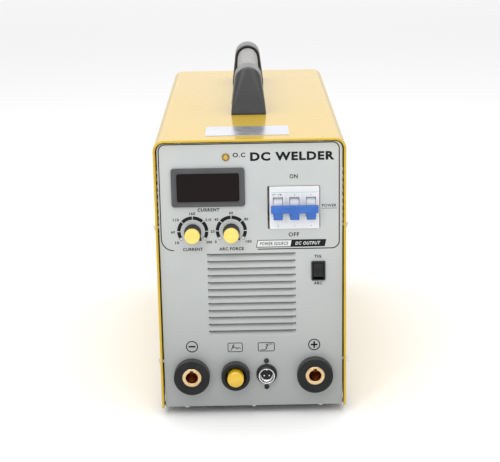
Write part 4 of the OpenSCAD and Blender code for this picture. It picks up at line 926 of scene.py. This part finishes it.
insert_line = [(0, -12), (7.5, -12), (7.5, 1.4), (6.9, 2), (5.6, 2), (5.3, 1.5), (0, 1.5)]
lathed(insert_bm, insert_line, centre, -1, 64)
insert = made(insert_bm, "torch_socket_moulded_insert", switch_black)
pins_bm = bmesh.new()
for shift in (-2.8 * mm, 2.8 * mm):
    lathed(pins_bm, [(0, -21.5), (1, -21.5), (1, 5.6), (0.85, 6.1), (0.5, 6.4), (0, 6.5)],
           (spot.x + shift, face_y, spot.z), -1, 24)
pins = made(pins_bm, "torch_socket_pins", chrome)
for piece, slot_name in ((gasket, "socket_black"), (torch_shell, "chrome_shell"),
                         (insert, "socket_black"), (pins, "chrome_shell")):
    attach(piece, "chassis")
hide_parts("torch_socket_gasket")
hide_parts("torch_socket_shell")
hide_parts("torch_socket_insert")
dress("torch_socket_screws", black_steel)

# ---------------------------------------------------------------------------------------- panel print
# Everything on the front panel is screen printed in two inks: an outline, plain words for each
# control, the scales of the two dials, and signs over the outlets.
black_ink = finish("black_ink", (0.008, 0.008, 0.009), (0.014, 0.014, 0.015), (0.5, 0.65), 1800, 0.00001,
                   Specular_IOR_Level=0.15)
white_ink = finish("white_ink", (0.72, 0.73, 0.72), (0.80, 0.81, 0.80), (0.45, 0.6), 1800, 0.00001)
green_ink = finish("pale_green_ink", (0.42, 0.62, 0.53), (0.50, 0.70, 0.60), (0.45, 0.6), 1800, 0.00001)
ink = 0.06 * mm
sunk = 0.4
print_zero = panel_low.z
black_bm, white_bm, green_bm = bmesh.new(), bmesh.new(), bmesh.new()


def words(bm, text, x, z, width, height, bold=0.0, lean=0.0, at=None):
    """Prints a word, centred on a place of the panel in mm and stretched to a width and a height."""
    letters = bpy.data.curves.new("letters", "FONT")
    letters.body = text
    letters.offset = bold
    letters.shear = lean
    letters.space_character = 1.15
    letters.extrude = 0.5
    letters.resolution_u = 3
    holder = bpy.data.objects.new("letters", letters)
    bpy.context.scene.collection.objects.link(holder)
    shape = bpy.data.meshes.new_from_object(holder.evaluated_get(bpy.context.evaluated_depsgraph_get()))
    old = set(bm.verts)
    bm.from_mesh(shape)
    fresh = [v for v in bm.verts if v not in old]
    xs, ys = [v.co.x for v in fresh], [v.co.y for v in fresh]
    mid_x, mid_y = (min(xs) + max(xs)) / 2, (min(ys) + max(ys)) / 2
    wide, tall = width * mm / (max(xs) - min(xs)), height * mm / (max(ys) - min(ys))
    front_side = face_y if at is None else at
    for v in fresh:
        v.co = Vector((x * mm + (v.co.x - mid_x) * wide, front_side - (v.co.z + sunk) * ink,
                       print_zero + z * mm + (v.co.y - mid_y) * tall))
    bpy.data.objects.remove(holder)
    bpy.data.curves.remove(letters)
    bpy.data.meshes.remove(shape)


def line(bm, points, width, closed=False, at=None):
    """Prints a line through places of the panel in mm, mitred at its bends."""
    front_side = face_y if at is None else at
    rings = []
    for number, (x, z) in enumerate(points):
        here = Vector((x, z))
        ways = []
        if closed or number:
            ways.append((here - Vector(points[number - 1])).normalized())
        if closed or number < len(points) - 1:
            ways.append((Vector(points[(number + 1) % len(points)]) - here).normalized())
        sides = [Vector((-w.y, w.x)) for w in ways]
        mitre = sum(sides, Vector((0, 0))).normalized()
        reach = width / 2 / max(0.4, mitre.dot(sides[0]))
        rings.append([bm.verts.new(((x + side * mitre.x * reach) * mm, front_side - lift * ink,
                                    print_zero + (z + side * mitre.y * reach) * mm))
                      for side, lift in ((1, 1), (-1, 1), (-1, -sunk), (1, -sunk))])
    pairs = list(zip(rings, rings[1:])) + ([(rings[-1], rings[0])] if closed else [])
    for one, two in pairs:
        for corner in range(4):
            bm.faces.new((one[corner], one[(corner + 1) % 4], two[(corner + 1) % 4], two[corner]))
    if not closed:
        bm.faces.new(rings[0])
        bm.faces.new(list(reversed(rings[-1])))


def patch(bm, points, at=None):
    """Prints a filled shape between places of the panel in mm."""
    front_side = face_y if at is None else at
    back_side = front_side + sunk * ink
    face = bm.faces.new([bm.verts.new((x * mm, back_side, print_zero + z * mm)) for x, z in points])
    pushed = bmesh.ops.extrude_face_region(bm, geom=[face])["geom"]
    raised = [g for g in pushed if isinstance(g, bmesh.types.BMVert)]
    bmesh.ops.translate(bm, verts=raised, vec=(0, -(1 + sunk) * ink, 0))


def arc(x, z, radius, start, end, steps=12):
    return [(x + radius * math.cos(math.radians(start + (end - start) * k / steps)), z +
             radius * math.sin(math.radians(start + (end - start) * k / steps)))
            for k in range(steps + 1)]


outline = ([(-83.4, 181.4)] + arc(-83.4, 194.6, 13.2, -92, -180, 14) + arc(-89.6, 291, 7, 180, 90, 10) +
           arc(88.1, 291, 7, 90, 0, 10) + arc(87, 189.5, 8.1, 0, -90, 10) + [(7, 181.4)])
line(black_bm, outline, 1.1)
for text, x, z, width, height, bold in (
        ("O.C", -11.2, 285.7, 13.4, 5, 0.025), ("DC WELDER", 45.3, 283.6, 89.4, 9.6, 0.045),
        ("CURRENT", -45, 226.2, 23.5, 3.7, 0.035), ("CURRENT", -62.9, 182.5, 21.4, 3.5, 0.03),
        ("ARC FORCE", -21.2, 182.4, 26.5, 3.5, 0.035), ("ON", 46.5, 261.5, 8.6, 4.6, 0.025),
        ("OFF", 46.2, 197.3, 11.4, 4.6, 0.025), ("POWER", 84.4, 228.9, 15.4, 3.2, 0.02),
        ("TIG", 71.9, 172.2, 7.6, 3.4, 0.035), ("ARC", 72, 141.9, 9, 3.4, 0.035)):
    words(black_bm, text, x, z, width, height, bold=bold)
line(black_bm, [(76, 225.8), (92.6, 225.8)], 0.45)
current_scale = (("10", -79.7, 190.2), ("60", -83.8, 202.2), ("110", -80.3, 215.6), ("160", -62.6, 222.4),
                 ("210", -45.6, 215.3), ("300", -45.2, 190.3))
force_scale = (("0", -38.2, 190.5), ("20", -41.2, 202.2), ("40", -36.9, 215.4), ("60", -21, 222.4),
               ("80", -4.8, 215.3), ("100", -2.6, 190.3))
for dial_x, dial_z, numbers in ((-62.5, 202.6, current_scale), (-21.0, 202.7, force_scale)):
    for start, end in ((207, 181.8), (178.2, 139.8), (136.2, 91.8), (88.2, 45.8), (42.2, 1.8), (-1.8, -27)):
        line(black_bm, arc(dial_x, dial_z, 14.95, start, end), 3.7)
    for start, end in ((218, 209.5), (-29.5, -38)):
        corner_line = arc(dial_x, dial_z, 13.3, start, end, 4) + arc(dial_x, dial_z, 16.6, end, start, 4)
        patch(white_bm, corner_line)
        line(black_bm, corner_line, 0.4, closed=True)
    for text, x, z in numbers:
        words(black_bm, text, x, z, 2.1 * len(text), 3.1, bold=0.03)
patch(white_bm, [(6.1, 184.1), (7.7, 190.9), (43.6, 190.8), (42.4, 184.2)])
line(black_bm, [(5.6, 183.6), (7.3, 191.3), (80.7, 191.1), (79.2, 183.8)], 0.7, closed=True)
patch(black_bm, [(42.4, 183.8), (43.6, 191.1), (80.5, 191.0), (79.1, 183.9)])
words(black_bm, "POWER SOURCE", 24.8, 187.4, 31, 3.7, bold=0.015, lean=0.25, at=face_y - ink)
words(white_bm, "DC OUTPUT", 61.2, 187.4, 27, 3.7, bold=0.02, lean=0.25, at=face_y - ink)
for sign_x, plus in ((-67.2, False), (67.5, True)):
    line(black_bm, arc(sign_x, 70.8, 6.1, 0, 352.5, 47), 1.15, closed=True)
    line(black_bm, [(sign_x - 3.8, 70.8), (sign_x + 3.8, 70.8)], 1.9)
    if plus:
        line(black_bm, [(sign_x, 67), (sign_x, 74.6)], 1.9)


def round_box(left, low, right, high, radius):
    return (arc(right - radius, high - radius, radius, 0, 90, 4) +
            arc(left + radius, high - radius, radius, 90, 180, 4) +
            arc(left + radius, low + radius, radius, 180, 270, 4) +
            arc(right - radius, low + radius, radius, 270, 360, 4))


line(black_bm, round_box(-27.5, 64, -11.7, 74.2, 1.5), 0.8, closed=True)
line(black_bm, [(-24.6, 65.4), (-23, 68), (-21.9, 71.8), (-20.9, 72.2), (-21.2, 70), (-22.6, 68.6),
                (-19.6, 69.2)], 0.75)
line(black_bm, [(-19.6, 69.2), (-18.6, 67.4), (-17.6, 69), (-16.6, 67.4), (-15.6, 69), (-13.4, 67.6)], 0.6)
line(black_bm, round_box(5.8, 64.2, 23.6, 74, 1.5), 0.8, closed=True)
line(black_bm, [(8.4, 65.6), (13.4, 65.9), (15.4, 67.2), (14, 68.8), (16.6, 70.2), (14.6, 71.6),
                (17, 72.4), (21.6, 72.2)], 0.75)
line(green_bm, [(22.5, 244.4), (72, 244.6)], 0.7, at=nose_y)
for row, pieces in ((242.6, ((23, 27.4), (28.2, 29.2), (30.2, 33.6))), (241.0, ((23, 26), (29.4, 31)))):
    for start, end in pieces:
        line(black_bm, [(start, row), (end, row)], 0.35, at=nose_y)
for step, above, below in ((-1, "1", "2"), (0, "3", "4"), (1, "5", "6")):
    pole_x = (hinge.x + step * pole) / mm
    words(black_bm, above, pole_x + 3.2 * (step < 0), 242.0, 0.9, 1.7, at=nose_y)
    words(black_bm, below, pole_x, 207.6, 0.9, 1.7, at=nose_y)
for bm, name, finish_used, slot_name in ((black_bm, "black_print", black_ink, "knob_black"),
                                         (white_bm, "white_print", white_ink, "breaker_white"),
                                         (green_bm, "green_print", green_ink, "breaker_white")):
    printed = made(bm, name, finish_used)
    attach(printed, "chassis")

# -------------------------------------------------------------------------------------- bridge plate
# A folded zinc-plated shelf across the machine. The control board stands on it on four spacers,
# with its integrated circuits and relays soldered on top.


def beyond(finished, axis, level, tone, metal=None):
    """Gives a finish another tone beyond a level along one axis of the part."""
    nodes, links = finished.node_tree.nodes, finished.node_tree.links
    shader = nodes["Principled BSDF"]
    split = nodes.new("ShaderNodeSeparateXYZ")
    over = nodes.new("ShaderNodeMath")
    over.operation = "GREATER_THAN"
    over.inputs[1].default_value = level
    swap = nodes.new("ShaderNodeMix")
    swap.data_type = "RGBA"
    swap.inputs[7].default_value = (*tone, 1)
    links.new(nodes["Texture Coordinate"].outputs["Object"], split.inputs["Vector"])
    links.new(split.outputs[axis], over.inputs[0])
    links.new(over.outputs[0], swap.inputs["Factor"])
    links.new(shader.inputs["Base Color"].links[0].from_socket, swap.inputs[6])
    links.new(swap.outputs[2], shader.inputs["Base Color"])
    if metal is not None:
        share = nodes.new("ShaderNodeMapRange")
        share.inputs["To Min"].default_value = metal[0]
        share.inputs["To Max"].default_value = metal[1]
        links.new(over.outputs[0], share.inputs["Value"])
        links.new(share.outputs["Result"], shader.inputs["Metallic"])
    return finished


dress("bridge_plate", bright_zinc)
board_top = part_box("control_board")[1].z
control_green = beyond(finish("control_board_mask", (0.010, 0.075, 0.028), (0.018, 0.125, 0.05),
                              (0.22, 0.36), 220, 0.00004, stretch=(1, 4, 1), drift_size=180), "Z",
                       board_top - 14.6 * mm, (0.028, 0.028, 0.03))
dress("control_board", control_green)

# ----------------------------------------------------------------------------------------- power parts
# The power board lies on two finned extrusions that carry the transistors and rectifiers. Beside
# them stand the smoothing capacitors, the main transformer, the output choke and the starting coil.
dress("power_board", board_green)
sink_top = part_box("heatsinks")[1].z
sink_metal = beyond(finish("extruded_aluminium", (0.50, 0.51, 0.53), (0.66, 0.67, 0.69), (0.3, 0.42), 420,
                           0.00002, stretch=(1, 0.05, 1), Metallic=1.0), "Z", sink_top - 11.9 * mm,
                    (0.02, 0.02, 0.022), metal=(1, 0))
dress("heatsinks", sink_metal)
can_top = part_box("filter_capacitors")[1].z
sleeve_blue = beyond(finish("capacitor_sleeve", (0.010, 0.016, 0.060), (0.016, 0.026, 0.095),
                            (0.25, 0.36), 900, 0.00001, drift_size=60), "Z", can_top - 0.3 * mm,
                     (0.55, 0.56, 0.58), metal=(0, 1))
dress("filter_capacitors", sleeve_blue)
winding = finish("enamelled_copper", (0.30, 0.105, 0.035), (0.46, 0.18, 0.06), (0.22, 0.36), 380, 0.0004,
                 stretch=(0.2, 1, 4), drift_size=120, Metallic=0.7)
ferrite = finish("ferrite_and_tape", (0.022, 0.022, 0.024), (0.040, 0.039, 0.040), (0.5, 0.65), 500, 0.0001)
dress("transformer", ferrite)
dress("output_choke", winding)
dress("arc_start_coil", winding)

# ------------------------------------------------------------------------------------------ gas valve
# A solenoid valve on the gas line: a brass block with its coil on top and a steel plunger inside.
# Gas comes in through a barbed nozzle in the rear panel and leaves through a hose to the outlet.
valve_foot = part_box("gas_valve_body")[0].z
valve_brass = beyond(finish("valve_brass", (0.50, 0.36, 0.16), (0.66, 0.50, 0.26), (0.26, 0.4), 600,
                            0.00003, drift_size=120, Metallic=1.0), "Z", valve_foot + 20.2 * mm,
                     (0.03, 0.03, 0.032), metal=(1, 0))
dress("gas_valve_body", valve_brass)
dress("gas_valve_plunger", shaft_steel)
hose = finish("braided_hose", (0.030, 0.030, 0.032), (0.060, 0.060, 0.062), (0.5, 0.65), 700, 0.0002)
dress("gas_hose", hose)
inlet_low, inlet_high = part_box("gas_inlet_nozzle")
inlet_mid = (inlet_low + inlet_high) / 2
outer_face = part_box("fan_guard")[1].y - 5 * mm
nozzle_out = (inlet_high.y - outer_face) / mm
nozzle_bm = bmesh.new()
barbs = []
for start in (7, 11, 15, 19):
    barbs += [(3.4, start), (4, start + 0.6), (4, start + 1.4), (3.4, start + 3.6)]
lathed(nozzle_bm, [(2.6, -20), (5, -20)] + [(5, -4.5), (6, -4.5), (6, 0.1), (4, 0.1), (4, 6)] + barbs +
       [(3.4, nozzle_out - 0.6), (3.1, nozzle_out), (2.6, nozzle_out)],
       (inlet_mid.x, outer_face, inlet_mid.z), 1, 48)
lathed(nozzle_bm, [(3.5, 0), (6.9, 0), (7.5, 0.4), (7.5, 5.6), (6.9, 6), (3.5, 6)],
       (inlet_mid.x, outer_face, inlet_mid.z), 1, 6)
nozzle = made(nozzle_bm, "gas_inlet_barbed_nozzle", brass, sharp=25)
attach(nozzle, "chassis")
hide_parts("gas_inlet_nozzle")

# ----------------------------------------------------------------------------------------- cooling fan
# A square axial fan blows out through the rear panel. Its frame is dressed as it is; the rotor is a
# moulded hub with seven swept blades, and a guard of welded wire rings stands outside the panel.
fan_black = finish("fan_black", (0.020, 0.020, 0.021), (0.032, 0.032, 0.033), (0.35, 0.48), 1800, 0.00003)
guard_chrome = finish("guard_chrome", (0.66, 0.66, 0.67), (0.80, 0.80, 0.81), (0.12, 0.22), 700, 0.000006,
                      drift_size=200, Metallic=1.0)
dress("fan_frame", fan_black)
fan_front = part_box("fan_frame")[0].y
hub_at = Vector((fan_mid.x, fan_front, fan_mid.z))
rotor_bm = bmesh.new()
lathed(rotor_bm, [(0, 1), (3, 1), (3, 6.5), (20.6, 6.5), (21.6, 6.9), (22, 8), (22, 34), (21.6, 35.1),
                  (20.6, 35.5), (16, 35.5), (15.4, 35.1), (0, 35.1)], hub_at, 1, 72)
blade_n = 7
for number in range(blade_n):
    sheet = bmesh.ops.create_grid(rotor_bm, x_segments=10, y_segments=8, size=0.5)["verts"]
    for v in sheet:
        out, along = v.co.x + 0.5, v.co.y + 0.5
        reach = (21 + 33.6 * out) * mm
        turn = math.tau * number / blade_n + (along - 0.5) * 0.72 * (1 - 0.25 * out) + 0.22 * out
        depth = (8.5 + 24 * along - 3 * math.sin(math.pi * along)) * mm
        v.co = hub_at + Vector((reach * math.sin(turn), depth, reach * math.cos(turn)))
    blade_faces = list(dict.fromkeys(f for v in sheet for f in v.link_faces))
    bmesh.ops.solidify(rotor_bm, geom=blade_faces, thickness=1.5 * mm)
rotor = made(rotor_bm, "fan_rotor_moulding", fan_black)
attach(rotor, "cooling_fan")
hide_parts("fan_rotor")

guard_bm = bmesh.new()
wire = 1 * mm
guard_at = Vector((fan_mid.x, outer_face, fan_mid.z))
screw_at = fan_w / 2 - 7.5 * mm


def wire_ring(bm, centre, radius, thick):
    loop = [(radius + thick * math.cos(math.tau * k / 10), thick * math.sin(math.tau * k / 10))
            for k in range(10)]
    turned(bm, loop, centre, axis=(0, 1, 0), steps=max(32, int(radius / mm) * 2))


for radius in (12, 24, 36, 48):
    wire_ring(guard_bm, guard_at + Vector((0, 4 * mm, 0)), radius * mm, wire)
for way in (45, 135, 225, 315):
    aim = Vector((math.cos(math.radians(way)), 0, math.sin(math.radians(way))))
    rod(guard_bm, wire, screw_at * math.sqrt(2) - 3 * mm, guard_at + Vector((0, 3 * mm, 0)), aim, 12)
    corner = guard_at + aim * screw_at * math.sqrt(2)
    wire_ring(guard_bm, corner + Vector((0, 2.9 * mm, 0)), 2.8 * mm, 0.9 * mm)
    lathed(guard_bm, [(0, -9), (1.5, -9), (1.5, 3.4), (3.6, 3.4), (3.5, 4.2), (2.8, 4.7), (1.6, 5),
                      (0, 5)], corner, 1, 24)
guard = made(guard_bm, "welded_wire_guard", guard_chrome)
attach(guard, "chassis")
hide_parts("fan_guard")

# --------------------------------------------------------------------------------------- rear fittings
# The mains cable comes in through a nylon gland with a fluted dome nut and a rubber seal. Below it a
# brass stud with its nuts takes the earth wire.
gland_at = Vector((-60 * mm, outer_face, 253 * mm))
stud_at = Vector((58 * mm, outer_face, 193 * mm))
gland_bm = bmesh.new()
lathed(gland_bm, [(6.5, -12)] + threaded(10, -11.8, 0, 1.5, 0.5) +
       [(10, 0.2), (10, 5.5), (11.5, 5.5), (11.2, 9), (10.4, 14.5), (9.4, 18.4), (8.6, 19.3), (7.6, 19.5),
        (6.5, 19.2)], gland_at, 1, 72)
for start, end in ((-7.4, -2), (0, 6)):
    lathed(gland_bm, [(9.6, start), (12.4, start), (13, start + 0.5), (13, end - 0.5), (12.4, end),
                             (9.6, end)], gland_at, 1, 6)
for v in gland_bm.verts:
    forth = (v.co.y - gland_at.y) / mm
    if 7 < forth < 18:
        turn = math.atan2(v.co.z - gland_at.z, v.co.x - gland_at.x)
        outside = math.hypot(v.co.x - gland_at.x, v.co.z - gland_at.z) > 8 * mm
        dip = 1 - 0.05 * max(0, math.cos(12 * turn)) ** 2 * outside
        v.co.x = gland_at.x + (v.co.x - gland_at.x) * dip
        v.co.z = gland_at.z + (v.co.z - gland_at.z) * dip
gland = made(gland_bm, "mains_cable_gland", nylon)
stud_bm = bmesh.new()
stud_line = [(0, -10), (2.6, -10)] + threaded(3, -9.8, 15.6, 1, 0.4) + [(2.4, 16), (0, 16)]
lathed(stud_bm, stud_line, stud_at, 1, 40)
for start, end in ((-6.1, -2.1), (0, 4)):
    lathed(stud_bm, [(2.6, start), (5.6, start), (6, start + 0.4), (6, end - 0.4), (5.6, end),
                     (2.6, end)], stud_at, 1, 6)
earth = made(stud_bm, "earth_stud_and_nuts", brass, sharp=25)
for piece in (gland, earth):
    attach(piece, "chassis")
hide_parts("rear_fittings")

# --------------------------------------------------------------------------------------- casing screws
# Cross-headed plated steel screws hold the cover to the panel flanges on both sides, and the panels
# to the base pan under their lower edges.
dress("cover_screws", bright_zinc)
dress("base_screws", bright_zinc)
